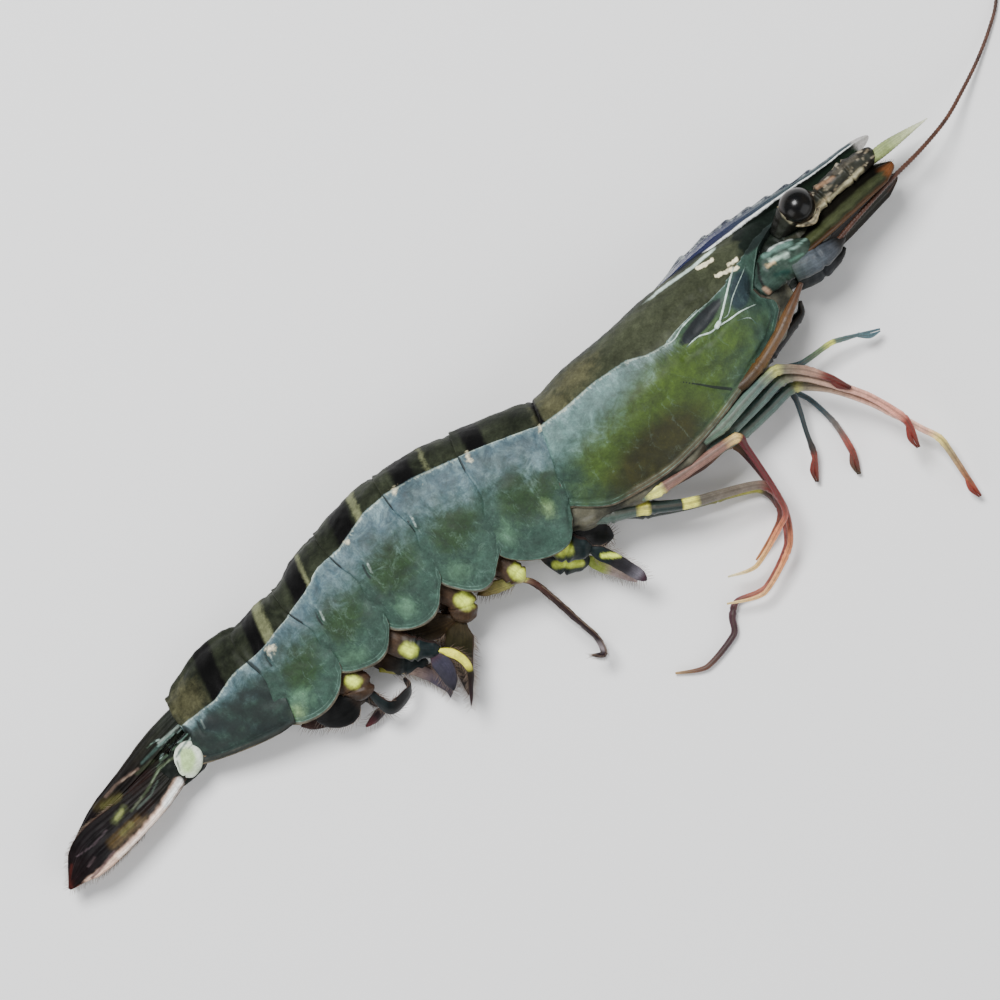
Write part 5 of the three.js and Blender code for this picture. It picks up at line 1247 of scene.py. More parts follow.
def whip_tree():
    """A feeler: a tube along the guide whose radius rises and falls at each of its many small rings."""
    inputs = [("Ring pitch", "Float"), ("Ring height", "Float"), ("Material", "Material")]
    return node_tree("Ringed whip", inputs, [
        ("girth", "GeometryNodeInputNamedAttribute", {"data_type": "FLOAT"}, {"Name": "girth"}),
        ("line", "GeometryNodeMeshToCurve", {}, {"Mesh": "in.Geometry"}),
        ("step", "ShaderNodeMath", {"operation": "DIVIDE"}, {0: "in.Ring pitch", 1: 5.0}),
        ("even", "GeometryNodeResampleCurve", {"mode": "LENGTH"}, {"Curve": "line", "Length": "step"}),
        ("run", "GeometryNodeSplineParameter", {}, {}),
        ("rings", "ShaderNodeMath", {"operation": "DIVIDE"}, {0: "run.Length", 1: "in.Ring pitch"}),
        ("turns", "ShaderNodeMath", TIMES, {0: "rings", 1: 2 * math.pi}),
        ("wave", "ShaderNodeMath", {"operation": "SINE"}, {0: "turns"}),
        ("high", "ShaderNodeMath", TIMES_PLUS, {0: "wave", 1: "in.Ring height", 2: 1.0}),
        ("radius", "ShaderNodeMath", TIMES, {0: "high", 1: "girth"}),
        ("section", "GeometryNodeCurvePrimitiveCircle", {}, {"Resolution": 8, "Radius": 1.0}),
        ("skin", "GeometryNodeCurveToMesh", {},
         {"Curve": "even", "Profile Curve": "section", "Scale": "radius", "Fill Caps": True}),
        ("real", "GeometryNodeRealizeInstances", {}, {"Geometry": "skin"}),
        ("coated", "GeometryNodeSetMaterial", {}, {"Geometry": "real", "Material": "in.Material"}),
    ])


def grown(guide, tree, **inputs):
    """Turns a guide into the plain mesh that a node tree makes of it."""
    grow = guide.modifiers.new("grow", "NODES")
    grow.node_group = tree
    for item in tree.interface.items_tree:
        key = item.name.replace(" ", "_").lower()
        if item.in_out == "INPUT" and key in inputs:
            grow[item.identifier] = inputs[key]
    graph = bpy.context.evaluated_depsgraph_get()
    mesh = bpy.data.meshes.new_from_object(guide.evaluated_get(graph))
    guide.modifiers.remove(grow)
    for vertex in mesh.vertices:
        vertex.co.z = max(vertex.co.z, 0.0)
    mesh.shade_smooth()
    guide.data = mesh
    return guide


def fringe(hairs, name, context):
    """The hairs as one plain mesh."""
    sizes = context.scene.prawn_sizes
    tree = bpy.data.node_groups.get(FRINGE) or fringe_tree()
    return grown(
        hairs.guide(name), tree, length=sizes.seta, thickness=sizes.seta_width, disorder=HAIR_DISORDER,
        seed=HAIR_SEED, material=MATERIALS["hair"],
    )


# ---- Head and tail ----


def painted(tint, points, strokes, rough=1.0):
    """Colours with strokes laid over them, soft and uneven at their edges. A stroke is a line of (x, y), its
    half width and a hex code."""
    uneven = rough * (0.26 * ripple(points, 1.4, 71) + 0.08 * ripple(points, 0.55, 72))
    for line, half, code in strokes:
        share = 0.92 * step_up(1.1 - distance_to(points, line) / half + uneven, 0.0, 0.9)[..., None]
        tint = tint + (np.array(linear(code)) - tint) * share
    return tint


def painted_values(run, rings, stops, strokes):
    """A limb's values, with strokes painted over its colours."""
    values = run.values(stops)
    wide = np.broadcast_to(values["tint"], (*rings.shape[:2], 3))
    values["tint"] = painted(wide, rings, strokes, 0.5)
    return values


HEAD_MIDDLE = 10.0
EYE_AT, EYE_RADIUS, EYE_STRETCH = (74.4, 3.5, 6.4), 3.25, 1.04


def outward(side, distance):
    """The height of something that is a distance to one side of the head's mid-plane."""
    return HEAD_MIDDLE + side * distance


def globe(side):
    """The eye's globe, slightly drawn out towards the front."""
    shape = Shape()
    x, y, out = EYE_AT
    polar = np.linspace(0.04, math.pi - 0.04, 40)[:, None]
    angle = np.linspace(0, 2 * math.pi, 56, endpoint=False)[None]
    front = np.broadcast_to(np.cos(polar), (polar.size, angle.size)) * EYE_STRETCH
    unit = np.dstack([front, np.sin(polar) * np.cos(angle), np.sin(polar) * np.sin(angle)])
    shape.loft(np.array((x, y, outward(side, out))) + EYE_RADIUS * unit, rim=1 - np.abs(unit[..., 2]))
    return shape


def stalk(side):
    """The eye's stalk: a cup that holds the globe, mottled cream and black, with a pale rim."""
    shape = Shape()
    x, y, out = EYE_AT
    path = [(69.0, 2.0, outward(side, 2.8)), (71.4, 2.9, outward(side, 4.4)), (x, y, outward(side, out))]
    run = Sweep(path, [1.7, 2.3, 3.34], sides=40, step=0.2, stiff=0.1)
    # it ends as a cup round the globe
    near = run.along < run.length * 0.97
    cup = 1 - 0.1 * step_up(run.along / run.length, 0.8, 1.0)
    run.wide, run.thick = run.wide * cup, run.thick * cup
    rings = run.rings(0.1 * ripple(run.rings(), 1.3, 5))
    lid = [([(71.5, 2.0), (71.3, 3.6), (71.9, 5.2), (73.1, 6.2)], 0.34, "#a39b80"),
           ([(72.6, 0.2), (75.4, -0.3)], 0.34, "#80684c")]
    values = painted_values(run, rings, [(0, "#0f110f"), (1.2, "#15140f"), (2, "#1d1711")], lid)
    values = {key: np.broadcast_to(v, (*rings.shape[:2], *v.shape[2:]))[near] for key, v in values.items()}
    shape.loft(rings[near], **values)
    ring = [(72.0, 5.7, outward(side, 6.3)), (71.2, 3.5, outward(side, 6.1)), (72.2, 1.2, outward(side, 6.2)),
            (74.8, -0.5, outward(side, 6.6)), (77.2, 0.7, outward(side, 6.2))]
    rim = Sweep(ring, [0.3, 0.42, 0.5, 0.55, 0.3], sides=20, step=0.16)
    rings = rim.rings(0.07 * ripple(rim.rings(), 0.9, 7))
    blots = 0.5 + 0.5 * ripple(rings, 1.0, 13).clip(-1, 1)[..., None]
    tint = np.array(linear("#2a221a")) * (1 - blots) + np.array(linear("#b0a384")) * blots
    shape.loft(rings, **{**rim.values([(0, "#80684c"), (4, "#80684c")]), "tint": tint})
    return shape


CHIPS = np.random.default_rng(17)
ANTENNULE_MARKS = [
    *(([(x, y), (x + CHIPS.uniform(0.1, 1.3), y + CHIPS.uniform(-0.3, 0.5))], CHIPS.uniform(0.12, 0.3),
       CHIPS.choice(["#7c705a", "#0a0907", "#a39881", "#2c241b", "#100e0a"]))
      for x, y in zip(CHIPS.uniform(76, 91.5, 110), CHIPS.uniform(-0.8, 4.4, 110))),
    ([(76.2, 0.9), (79.0, 0.5)], 1.25, "#d2cba8"), ([(78.4, 0.3), (82.3, 0.3), (87.5, 0.8)], 0.75, "#cdc59f"),
    ([(79.6, 3.6), (82.9, 3.0)], 0.55, "#86684e"), ([(77.2, 1.2), (79.6, 1.0)], 0.5, "#8a7c62"),
    ([(83.6, 3.4), (88.4, 3.0)], 0.6, "#4a463c"), ([(82.2, 1.2), (88.6, 1.2)], 0.32, "#23211d"),
]


def antennule(side):
    """A jointed stem that cradles the eye, and two short flattened whips."""
    shape = Shape()
    path = [(72.0, 0.6, outward(side, 2.0)), (79.0, 2.0, outward(side, 2.4)), (85.0, 2.1, outward(side, 2.4)),
            (90.4, 1.6, outward(side, 2.4)), (91.4, 1.3, outward(side, 2.4))]
    run = Sweep(path, [1.6, 1.9, 2.1, 1.7, 0.9], sides=40, step=0.18, joints=[1.0, 2.1])
    rings = run.rings(0.12 * ripple(run.rings(), 1.2, 6))
    stops = [(0, "#17160f"), (1.2, "#1f1d16"), (2, "#2e2b24"), (3, "#1a1813")]
    shape.loft(rings, **painted_values(run, rings, stops, ANTENNULE_MARKS))
    stops = [(0, "#5d6440"), (0.6, "#8d9a62"), (1.0, "#7d8a58"), (1.5, "#a9b088"), (2, "#d9dcc4")]
    for end_x, end_y, end_out, wide in [(102.6, -0.4, 3.4, 1.15), (98.5, 0.6, 1.2, 0.7)]:
        path = [(88.5, 1.1, outward(side, 2.4)), (94.0, 0.7, outward(side, 2.4 + 0.4 * (end_out - 2.4))),
                (end_x, end_y, outward(side, end_out))]
        whip = Sweep(path, [0.9, wide, 0.08], [0.7, 0.5, 0.08], (0, 1, 0), sides=14, step=0.25, stiff=0.1)
        rings = whip.rings(0.04 * np.sin(whip.along * 9)[:, None])
        shape.loft(rings, **whip.values(stops))
    return shape


def antennal_scale(side, hairs):
    """A stiff blade beside the beak: black towards the back, olive green, with a thick brown outer edge."""
    shape = Shape()
    sunk = 0 if side > 0 else -3.0
    path = [(64.5, -2.6 + sunk, outward(side, 5.4)), (70.0, -2.0 + sunk, outward(side, 4.4)),
            (78.0, -1.7 + sunk, outward(side, 4.0)), (86.0, -1.7 + sunk * 0.85, outward(side, 3.8)),
            (92.6, -2.2 + sunk * 0.7, outward(side, 3.6))]
    run = Sweep(path, [1.8, 3.2, 4.0, 3.8, 2.8], [0.9, 0.7, 0.55, 0.5, 0.4], (0, -0.62, side * 0.78),
                sides=64, step=0.22, stiff=0.1)
    tip = np.sqrt(np.clip((run.length - run.along) / 3.2 + 0.02, 0, 1))
    run.wide = run.wide * tip
    c = np.cos(run.angle)[None]
    ribs = 0.05 * np.sin(c * 16) - 0.12 * hump(c, 0.62, 0.12) + 0.1 * hump(c, 0.9, 0.1)
    rings = run.rings(np.broadcast_to(ribs, (len(run.along), run.angle.size)) * (run.thick[:, None] > 0.3))
    wave = 0.06 * ripple(rings, 2.0, 12)
    codes = ("#090806", "#383d26", "#15140c", "#33200f", "#5e371c")
    black, green, dark, edge, orange = (np.array(linear(code)) for code in codes)
    t = (run.along / run.length)[:, None]
    zone = [step_up(c + wave, 0.02, 0.26), step_up(c + wave, 0.6, 0.76), step_up(c + wave, 0.8, 0.9)]
    light = green * (1.25 - 0.7 * t[..., None])
    tint = black + (light - black) * zone[0][..., None]
    tint = tint + (dark - tint) * zone[1][..., None] * 0.6
    tint = tint + (edge - tint) * zone[2][..., None]
    tint = tint + (orange - tint) * (step_up(t + wave, 0.88, 0.96) * step_up(c, -0.5, 0.2))[..., None]
    # painted shade: the left scale, lower and under the body, is darkened
    if side < 0:
        tint = tint * 0.18 + np.array(linear("#120d09")) * 0.8
    values = run.values([(0, "#2a261a"), (4, "#2a261a")])
    values["tint"] = tint
    shape.loft(rings, **values)
    hairs.edges(run, 0.3, 1.0, 0.2, 0.55 if side > 0 else 0.8, sides=(-1,), lean=1.6)
    return shape


BASE_MARKS = [
    ([(64.2, 0.9), (66.6, 0.4), (69.0, -0.4)], 0.8, "#5c7a70"),
    # painted highlights: a white streak and a pale teal one on the broad joint
    ([(65.2, 1.2), (67.5, 0.9), (69.9, -0.2)], 0.28, "#d5e0dc"),
    ([(64.4, -0.6), (65.9, -1.3), (67.3, -1.6)], 0.55, "#aac6b4"),
    ([(67.9, -1.5), (71.8, -1.9)], 0.26, "#7d9c90"),
    ([(63.3, -0.9), (64.6, -1.2)], 0.4, "#c9ae82"),
    ([(62.4, 0.6), (60.9, -1.5), (60.2, -4.4)], 0.3, "#140d10"),
    ([(60.4, -3.6), (60.7, -5.4), (61.6, -6.6), (63.2, -7.0)], 0.6, "#a98b74"),
    ([(66.0, 3.2), (68.4, 3.2), (70.5, 2.8)], 0.8, "#050607"),
    ([(63.4, -3.0), (65.4, -4.2)], 0.7, "#14302a"), ([(66.8, -3.0), (69.6, -3.4)], 0.24, "#48685a"),
]


def antenna_base(side):
    """The antenna's stout base: a broad scaly joint in the mouth of the shell, then a narrower one."""
    shape = Shape()
    sunk = 0 if side > 0 else -1.6
    parts = [
        ([(59.8, -2.4 + sunk, outward(side, 3.6)), (64.4, -2.0 + sunk, outward(side, 5.0)),
          (69.0, -3.0 + sunk, outward(side, 5.2)), (72.0, -4.2 + sunk, outward(side, 4.6)),
          (73.4, -4.8 + sunk, outward(side, 4.2))],
         [2.6, 3.5, 3.0, 1.7, 0.4], [1.6, 2.3, 2.2, 1.4, 0.4], 0.14,
         [(0, "#33443e"), (1, "#2b3d34"), (2, "#2c3a32"), (4, "#20261f")]),
        ([(66.4, -4.4 + sunk, outward(side, 5.2)), (71.0, -5.8 + sunk, outward(side, 5.6)),
          (75.0, -6.3 + sunk, outward(side, 5.2)), (77.2, -6.3 + sunk, outward(side, 5.0))],
         [2.4, 2.3, 1.5, 0.3], [2.2, 2.0, 1.4, 0.3], 0.08,
         [(0, "#2c3632"), (0.8, "#454c52"), (1.6, "#363a40"), (2.2, "#1d1c1b"), (3, "#161412")]),
    ]
    for path, wide, thick, rough, colours in parts:
        run = Sweep(path, wide, thick, (0, 1, 0), sides=44, step=0.22, stiff=0.1)
        rings = run.rings(rough * ripple(run.rings(), 1.8, 15) - 0.3 * hump(run.along, 5.2, 0.3)[:, None])
        values = painted_values(run, rings, colours, BASE_MARKS)
        # painted shade: the left base, lower down, is darkened
        if side < 0:
            values["tint"] = values["tint"] * 0.35
        shape.loft(rings, **values)
    return shape


WHIP_PATH = [
    (74.5, -6.1, 15.4), (82.4, -5.0, 15.4), (90.4, -4.2, 13.8), (98.4, -3.8, 10.0), (106.0, -2.8, 6.2),
    (112.5, -0.8, 3.4), (118.5, 1.5, 1.7), (124.2, 4.4, 0.9), (128.5, 7.4, 0.62), (136.5, 15.6, 0.6),
    (141.6, 26.0, 0.58), (142.9, 37.0, 0.55), (140.5, 47.5, 0.5), (135.2, 56.5, 0.45), (127.9, 63.6, 0.4),
]
WHIP_ROOT, WHIP_TIP = 0.48, 0.15  # half its thickness at each end
WHIP_RELIEF = 0.12  # height of its rings, as a share of that


def whip_guide():
    """The line of the long feeler, with its half thickness at each point."""
    run = Sweep(WHIP_PATH, [0.5] * len(WHIP_PATH), step=0.5, stiff=0.0)
    mesh = mesh_of("antenna_whip", run.centre, [(i, i + 1) for i in range(len(run.along) - 1)])
    keep(mesh, "girth", np.interp(run.along / run.length, [0, 1], [WHIP_ROOT, WHIP_TIP]) * MM)
    return linked("antenna_whip", mesh)


def chest(sizes):
    """The soft underside inside the carapace, with a swelling at the root of each leg."""
    t = np.linspace(-0.03, 0.97, 130)
    rows = smooth(CARAPACE_ROWS, t * (len(CARAPACE_ROWS) - 1))
    edge = rows[:, 2:4]
    up = rows[:, 0:2] - edge
    up /= np.linalg.norm(up, axis=1)[:, None]
    wide = rows[:, 4] * (1 - CARAPACE_TUCK) - sizes.lip / MM - 0.3
    section = [(5.2, 0), (5.2, 1), (0, 1), (-1.5, 0.75), (-2.1, 0), (-1.5, -0.75), (0, -1), (5.2, -1),
               (5.2, 0)]
    around = smooth(section, np.linspace(0, len(section) - 1, 65)[:-1])
    flat = edge[:, None] + up[:, None] * around[None, :, :1]
    rings = np.dstack([flat, rows[:, 5:6] + wide[:, None] * around[None, :, 1]])
    low = step_up(-around[None, :, 0], 0.0, 1.0)
    swell = 0.4 * np.sin(t * 40)[:, None] * low + 0.15 * ripple(rings, 2.2, 21)
    rings += outward_normals(rings) * swell[..., None]
    shape = Shape()
    tone = np.clip(0.5 + 0.5 * np.sin(t * 40)[:, None] + 0.3 * ripple(rings, 1.7, 22), 0, 1)[..., None]
    tint = np.array(linear("#2a2b25")) * (1 - tone) + np.array(linear("#585648")) * tone
    shape.loft(on_floor(rings), tint=tint, along=t[:, None] * 0.5, cross=0.0, round=0.0)
    return shape


def head_front():
    """The soft front of the head, between the eyes and the feelers."""
    shape = Shape()
    run = Sweep([(63.0, -0.8, 10.1), (68.5, -1.0, 10.1), (74.0, -1.6, 10.0), (78.0, -2.2, 10.0)],
                [4.8, 4.6, 3.6, 1.8], [5.0, 4.6, 3.2, 1.6], (0, 0, 1), sides=48, step=0.25)
    rings = run.rings(0.35 * ripple(run.rings(), 2.4, 31) + 0.1 * ripple(run.rings(), 0.9, 32))
    marks = [([(64.0, 4.2), (70.0, 3.4)], 1.2, "#101213"), ([(70.0, -3.4), (76.0, -4.0)], 0.8, "#3f4238")]
    shape.loft(rings, **painted_values(run, rings, [(0, "#151a16"), (1.5, "#1c241c"), (3, "#131210")], marks))
    return shape


TAIL_ROOT = 4.2
TAIL_STOPS = [(-70, "#1c211a"), (-76, "#171812"), (-82, "#110e0b"), (-89, "#0e0909"), (-97, "#0b0709"),
              (-103, "#100607"), (-105, "#2c0c0a")]
TAIL_CHIPS = np.random.default_rng(23)
TAIL_MARKS = [
    # mottled teal and white at the root, brown and olive clouds further back
    *(([(x, y), (x - TAIL_CHIPS.uniform(0.5, 2.2), y + TAIL_CHIPS.uniform(-0.5, 0.3))],
       TAIL_CHIPS.uniform(0.12, 0.3),
       TAIL_CHIPS.choice(["#5f776e", "#8fa39c", "#232c24", "#3a4a3c", "#0c0f0c"]))
      for x, y in zip(TAIL_CHIPS.uniform(-77.5, -69.0, 46), TAIL_CHIPS.uniform(4.4, 9.4, 46))),
    ([(-80.5, 5.9), (-84.5, 5.6)], 1.3, "#1a0f0d"), ([(-78.4, 7.0), (-82.0, 7.2)], 0.5, "#2c3122"),
    ([(-91.6, 7.4), (-89.0, 6.9), (-87.4, 6.4)], 1.3, "#2c2614"),
    ([(-90.6, 6.8), (-88.6, 6.4), (-87.4, 6.2)], 0.9, "#4a4826"),
    ([(-90.4, 3.5), (-88.0, 4.0)], 1.1, "#3a3f26"), ([(-90.0, 3.6), (-88.4, 3.9)], 0.6, "#747b48"),
    ([(-93.4, 0.6), (-89.6, 0.7), (-86.4, 0.5)], 1.5, "#4c3e26"),
    ([(-91.0, 0.9), (-88.6, 1.0)], 0.8, "#5c5834"),
    ([(-86.0, 1.0), (-83.4, 1.6)], 0.9, "#1c120f"),
    ([(-77.4, 0.9), (-82.3, -0.6), (-87.9, -1.6), (-93.5, -1.8), (-98.4, -2.0), (-101.6, -1.7)], 1.15,
     "#ecc8b2"),
    ([(-78.6, 0.4), (-83.6, -1.0), (-89.0, -1.8), (-94.0, -2.0)], 0.75, "#f8e8da"),
    ([(-77.0, 0.9), (-79.4, 0.2), (-81.6, -0.5)], 0.9, "#e6ebe9"),
    ([(-94.2, -0.6), (-97.6, -1.2), (-100.4, -1.4)], 0.4, "#5c4a48"),
    # thin paler lines, painted sheen along the edges and ridges, most beside a darker line
    ([(-81.3, 7.7), (-83.7, 8.0), (-86.4, 8.2), (-89.1, 7.9)], 0.4, "#54463e"),
    ([(-82.0, 7.7), (-85.0, 8.0)], 0.2, "#7c6b5e"),
    ([(-71.8, 8.5), (-76.2, 8.2), (-80.1, 8.0)], 0.42, "#33443f"),
    ([(-72.6, 8.5), (-75.8, 8.3)], 0.24, "#6b837c"),
    ([(-69.6, 8.6), (-73.0, 8.6), (-75.4, 8.7)], 0.3, "#7c8a82"),
    ([(-75.0, 4.9), (-78.2, 5.3), (-82.3, 3.7), (-87.1, 2.8)], 0.34, "#39422f"),
    ([(-75.8, 5.0), (-78.4, 5.0), (-81.0, 4.2)], 0.18, "#626e5a"),
    ([(-84.0, 3.4), (-86.6, 2.9)], 0.2, "#54584a"),
    ([(-79.9, 3.7), (-82.5, 2.6), (-86.0, 2.4)], 0.22, "#3d4840"),
    ([(-100.1, 3.3), (-96.4, 2.8), (-92.8, 3.2)], 0.2, "#40363a"),
    ([(-97.6, 1.0), (-99.6, 0.6)], 0.3, "#3c3234"),
    ([(-101.8, 2.8), (-104.2, 0.8), (-104.4, -0.4)], 0.4, "#34100c"),
    ([(-101.5, -1.7), (-103.6, -1.0)], 0.4, "#8c5546"),
]


def tail_blade(shape, path, wide, thick, across, bend, hairs, tip_round, ridges):
    """One blade of the tail, with raised ridges along it. bend is how much its tip narrows."""
    run = Sweep(path, wide, thick, across, sides=110, step=0.2, stiff=0.05)
    run.wide = run.wide * np.sqrt(np.clip((run.length - run.along) / tip_round + 0.03, 0, 1)) ** bend
    c = np.cos(run.angle)[None]
    relief = sum(0.22 * hump(c, at, 0.09) for at in ridges) + 0.04 * np.sin(c * 22)
    relief = relief * step_up(run.length - run.along, 0, 4)[:, None]
    rings = run.rings(relief + 0.03 * ripple(run.rings(), 2.6, 41))
    tint = tints([(-at, code) for at, code in TAIL_STOPS], -rings[..., 0])
    tint = tint * (1 + 0.45 * ripple(rings * (0.35, 1, 1), 1.1, 61))[..., None].clip(0.3, 2)
    values = run.values([(0, "#2a1d1e"), (9, "#2a1d1e")])
    values["tint"] = painted(tint, rings, TAIL_MARKS, 0.5)
    shape.loft(rings, **values)
    if hairs:
        hairs.edges(run, 0.45, 1.0, 0.24, 0.8, lean=1.5)


def telson():
    """The pointed middle plate, with a groove down it."""
    shape = Shape()
    path = [(-69.4, 9.6, TAIL_ROOT), (-76.0, 8.9, TAIL_ROOT), (-84.0, 7.7, TAIL_ROOT - 0.1),
            (-92.0, 6.9, TAIL_ROOT - 0.3), (-98.5, 5.7, TAIL_ROOT - 0.6)]
    wide, thick = [2.4, 2.6, 2.2, 1.5, 0.3], [2.3, 2.0, 1.5, 1.1, 0.3]
    tail_blade(shape, path, wide, thick, (0, 1, 0), 0, None, 1.0, (0.5, -0.5))
    return shape


def tail_fan(side, hairs):
    """One side fan: a stem with a pale oval swelling, a broad outer blade and a narrower inner one."""
    shape = Shape()

    def off(distance):
        return TAIL_ROOT + side * distance

    run = Sweep([(-69.2, 4.2, off(1.5)), (-73.4, 3.0, off(2.3)), (-78.0, 2.2, off(2.6))], [2.4, 3.4, 2.4],
                [1.3, 1.6, 1.0], (0, 1, 0), sides=72, step=0.16, stiff=0.0)
    rings = run.rings(0.06 * ripple(run.rings(), 1.8, 51))
    values = run.values([(0, "#141a15"), (2, "#141915")])
    values.update(cross=0.0, round=0.0)
    # a painted shadow: a black line round part of the swelling's rim
    edge = [([(-69.4, 4.4), (-70.0, 1.4), (-72.6, -0.4), (-75.6, 0.0)], 0.3, "#070808")]
    values["tint"] = painted(np.broadcast_to(values["tint"], (*rings.shape[:2], 3)), rings, TAIL_MARKS + edge)
    shape.loft(rings, **values)
    # the pale swelling, a low dome drawn out down and forward, green in the middle and white round it, with
    # painted shade towards its edge
    polar = np.linspace(0.03, 0.6 * math.pi, 40)[:, None]
    angle = np.linspace(0, 2 * math.pi, 72, endpoint=False)[None]
    u, v = np.sin(polar) * np.cos(angle) * 3.5, np.sin(polar) * np.sin(angle) * 2.8
    x, y = -73.3 + 0.76 * u - 0.65 * v, 2.9 + 0.65 * u + 0.76 * v
    dome = np.dstack([x, y, off(2.5) + side * (1.45 * np.cos(polar) + 0.45 + 0 * angle)])
    dome += 0.05 * ripple(dome, 1.7, 52)[..., None] * np.array([1, 1, 0.6])
    tone = step_up(np.sin(polar) + 0.25 * ripple(dome, 2.4, 53), 0.35, 0.85)
    painted_edge_shade = 1 - 0.85 * step_up(polar + 0 * angle, 1.2, 1.6)
    tint = tints([(0, "#a9c488"), (1, "#d3dccb")], tone) * painted_edge_shade[..., None]
    veins = [
        ([(-70.6, 5.6), (-72.6, 5.2), (-74.4, 4.6)], 0.3, "#5f7068"),
        ([(-70.2, 4.4), (-71.8, 4.3)], 0.2, "#6b7c72"), ([(-74.8, 4.0), (-75.6, 2.4)], 0.24, "#7d8c78"),
    ]
    tint = painted(tint, dome, veins)
    shape.loft(dome, tint=tint, along=polar * 0.01)
    outer = [(-75.5, 2.6, off(2.6)), (-82.0, 2.2, off(2.9)), (-90.0, 2.0, off(2.9)), (-98.0, 1.8, off(2.6)),
             (-105.0, -0.2, off(2.2))]
    wide, thick = [2.2, 3.5, 4.2, 4.3, 1.6], [0.8, 0.55, 0.5, 0.45, 0.25]
    tail_blade(shape, outer, wide, thick, (0, 1, -side * 0.32), 1, hairs, 5.0, (0.35, -0.2, -0.75))
    inner = [(-75.5, 4.8, off(1.9)), (-83.0, 4.6, off(1.4)), (-92.0, 4.2, off(1.2)), (-100.5, 3.0, off(1.0))]
    wide, thick = [1.6, 2.2, 2.5, 0.9], [0.6, 0.45, 0.4, 0.25]
    tail_blade(shape, inner, wide, thick, (0, 1, -side * 0.3), 1, hairs, 3.0, (0.1,))
    return shape


def beak_material():
    """Chitin of the beak, thick along its ridges. The ridge shows as a painted white highlight line, broken in
    places, and the groove over it as a deep blue-violet strip. The keel looks translucent and pale, and below
    the ridge it is dark."""
    return material("Chitin beak, thick and wet", ("mark", "along"), [
        ("mottle", "TexNoise", {}, {"Vector": "place.Object", "Scale": per(1.3), "Detail": 5,
                                    "Roughness": 0.68}),
        ("grain", "TexNoise", {}, {"Vector": "place.Object", "Scale": per(0.35), "Detail": 4,
                                   "Roughness": 0.7}),
        ("level", "Math", TIMES_PLUS, {0: "mottle", 1: 0.22, 2: "mark.Fac"}),
        ("groove_tone", "MapRange", {}, {"Value": "along.Fac", "From Min": 0.3, "From Max": 0.62}),
        ("groove", "Mix", RGBA, {"Factor": "groove_tone", "A": "#1c2244", "B": "#39464a"}),
        ("keel_tone", "MapRange", SMOOTHLY, {"Value": "mottle", "From Min": 0.42, "From Max": 0.62}),
        ("keel", "Mix", RGBA, {"Factor": "keel_tone", "A": "#1d2233", "B": "#8a9091"}),
        *layers("#1e2a20", [
            ("low", "level", {}, -0.5, 0.05, 1.0, "#121714"),
            ("above", "level", {}, 0.2, 0.32, 1.0, "groove"),
            ("top", "level", {}, 0.82, 1.02, 0.9, "keel"),
        ]),
        # a painted highlight along the side ridge, broken by noise
        ("off_ridge", "Math", {"operation": "SUBTRACT"}, {0: "level", 1: 0.13}),
        ("off_ridge_2", "Math", ABSOLUTE, {0: "off_ridge"}),
        ("ridge", "MapRange", SMOOTHLY, {"Value": "off_ridge_2", "From Min": 0.13, "From Max": 0.04,
                                         "To Max": 0.95}),
        ("worn", "MapRange", {}, {"Value": "mottle", "From Min": 0.36, "From Max": 0.5, "To Min": 0.3}),
        ("ridge_2", "Math", TIMES, {0: "ridge", 1: "worn"}),
        ("ridged", "Mix", RGBA, {"Factor": "ridge_2", "A": "top", "B": "#f2f6f4"}),
        *layers("ridged", [("tip", "along.Fac", {"mottle": 0.05}, 0.95, 0.985, 0.9, "#aeaba8")]),
        *shaded("pigment", "tip", [("grain", 0.3, 0.7, 0.7, 1.2)]),
        ("gloss", "MapRange", {}, {"Value": "mottle", "From Min": 0.3, "From Max": 0.7, "To Min": 0.25,
                                   "To Max": 0.42}),
        ("pits", "Bump", {}, {"Height": "grain", "Strength": 0.3, "Distance": 0.08 * MM}),
    ], {
        "Base Color": "pigment", "Roughness": "gloss", "Normal": "pits", "IOR": 1.54,
        "Specular IOR Level": 0.22, "Coat Weight": 0.08, "Coat Roughness": 0.15,
    })


def eye_material():
    """Cornea of a compound eye, smooth and wet over black pigment. Nearly black and glossy, brown at the rim,
    with very fine facets that soften the reflection a little."""
    return material("Cornea over black pigment", ("rim",), [
        ("facets", "TexVoronoi", {"feature": "DISTANCE_TO_EDGE"},
         {"Vector": "place.Object", "Scale": per(0.16)}),
        ("clouds", "TexNoise", {}, {"Vector": "place.Object", "Scale": per(1.8), "Detail": 4}),
        ("tone", "MapRange", {}, {"Value": "clouds", "From Min": 0.35, "From Max": 0.7}),
        ("black", "Mix", RGBA, {"Factor": "tone", "A": "#08090b", "B": "#14120f"}),
        *layers("black", [("pigment", "rim", {}, 0.35, 0.8, 0.8, "#24160d")]),
        ("gloss", "MapRange", {}, {"Value": "clouds", "From Min": 0.3, "From Max": 0.7, "To Min": 0.2,
                                   "To Max": 0.27}),
        ("fine", "Bump", {}, {"Height": "facets", "Strength": 0.15, "Distance": 0.02 * MM}),
    ], {"Base Color": "pigment", "Roughness": "gloss", "Normal": "fine", "IOR": 1.5,
        "Specular IOR Level": 0.25})


def hair_material():
    """Bristles of thin chitin, matted with water. Translucent brown, paler towards the light."""
    return material("Bristle chitin, wet", (), [
        ("patches", "TexNoise", {}, {"Vector": "place.Object", "Scale": per(2.5), "Detail": 3}),
        ("tone", "MapRange", {}, {"Value": "patches", "From Min": 0.35, "From Max": 0.65}),
        ("pigment", "Mix", RGBA, {"Factor": "tone", "A": "#4a3428", "B": "#8d7a68"}),
    ], {"Base Color": "pigment", "Roughness": 0.42, "IOR": 1.54})


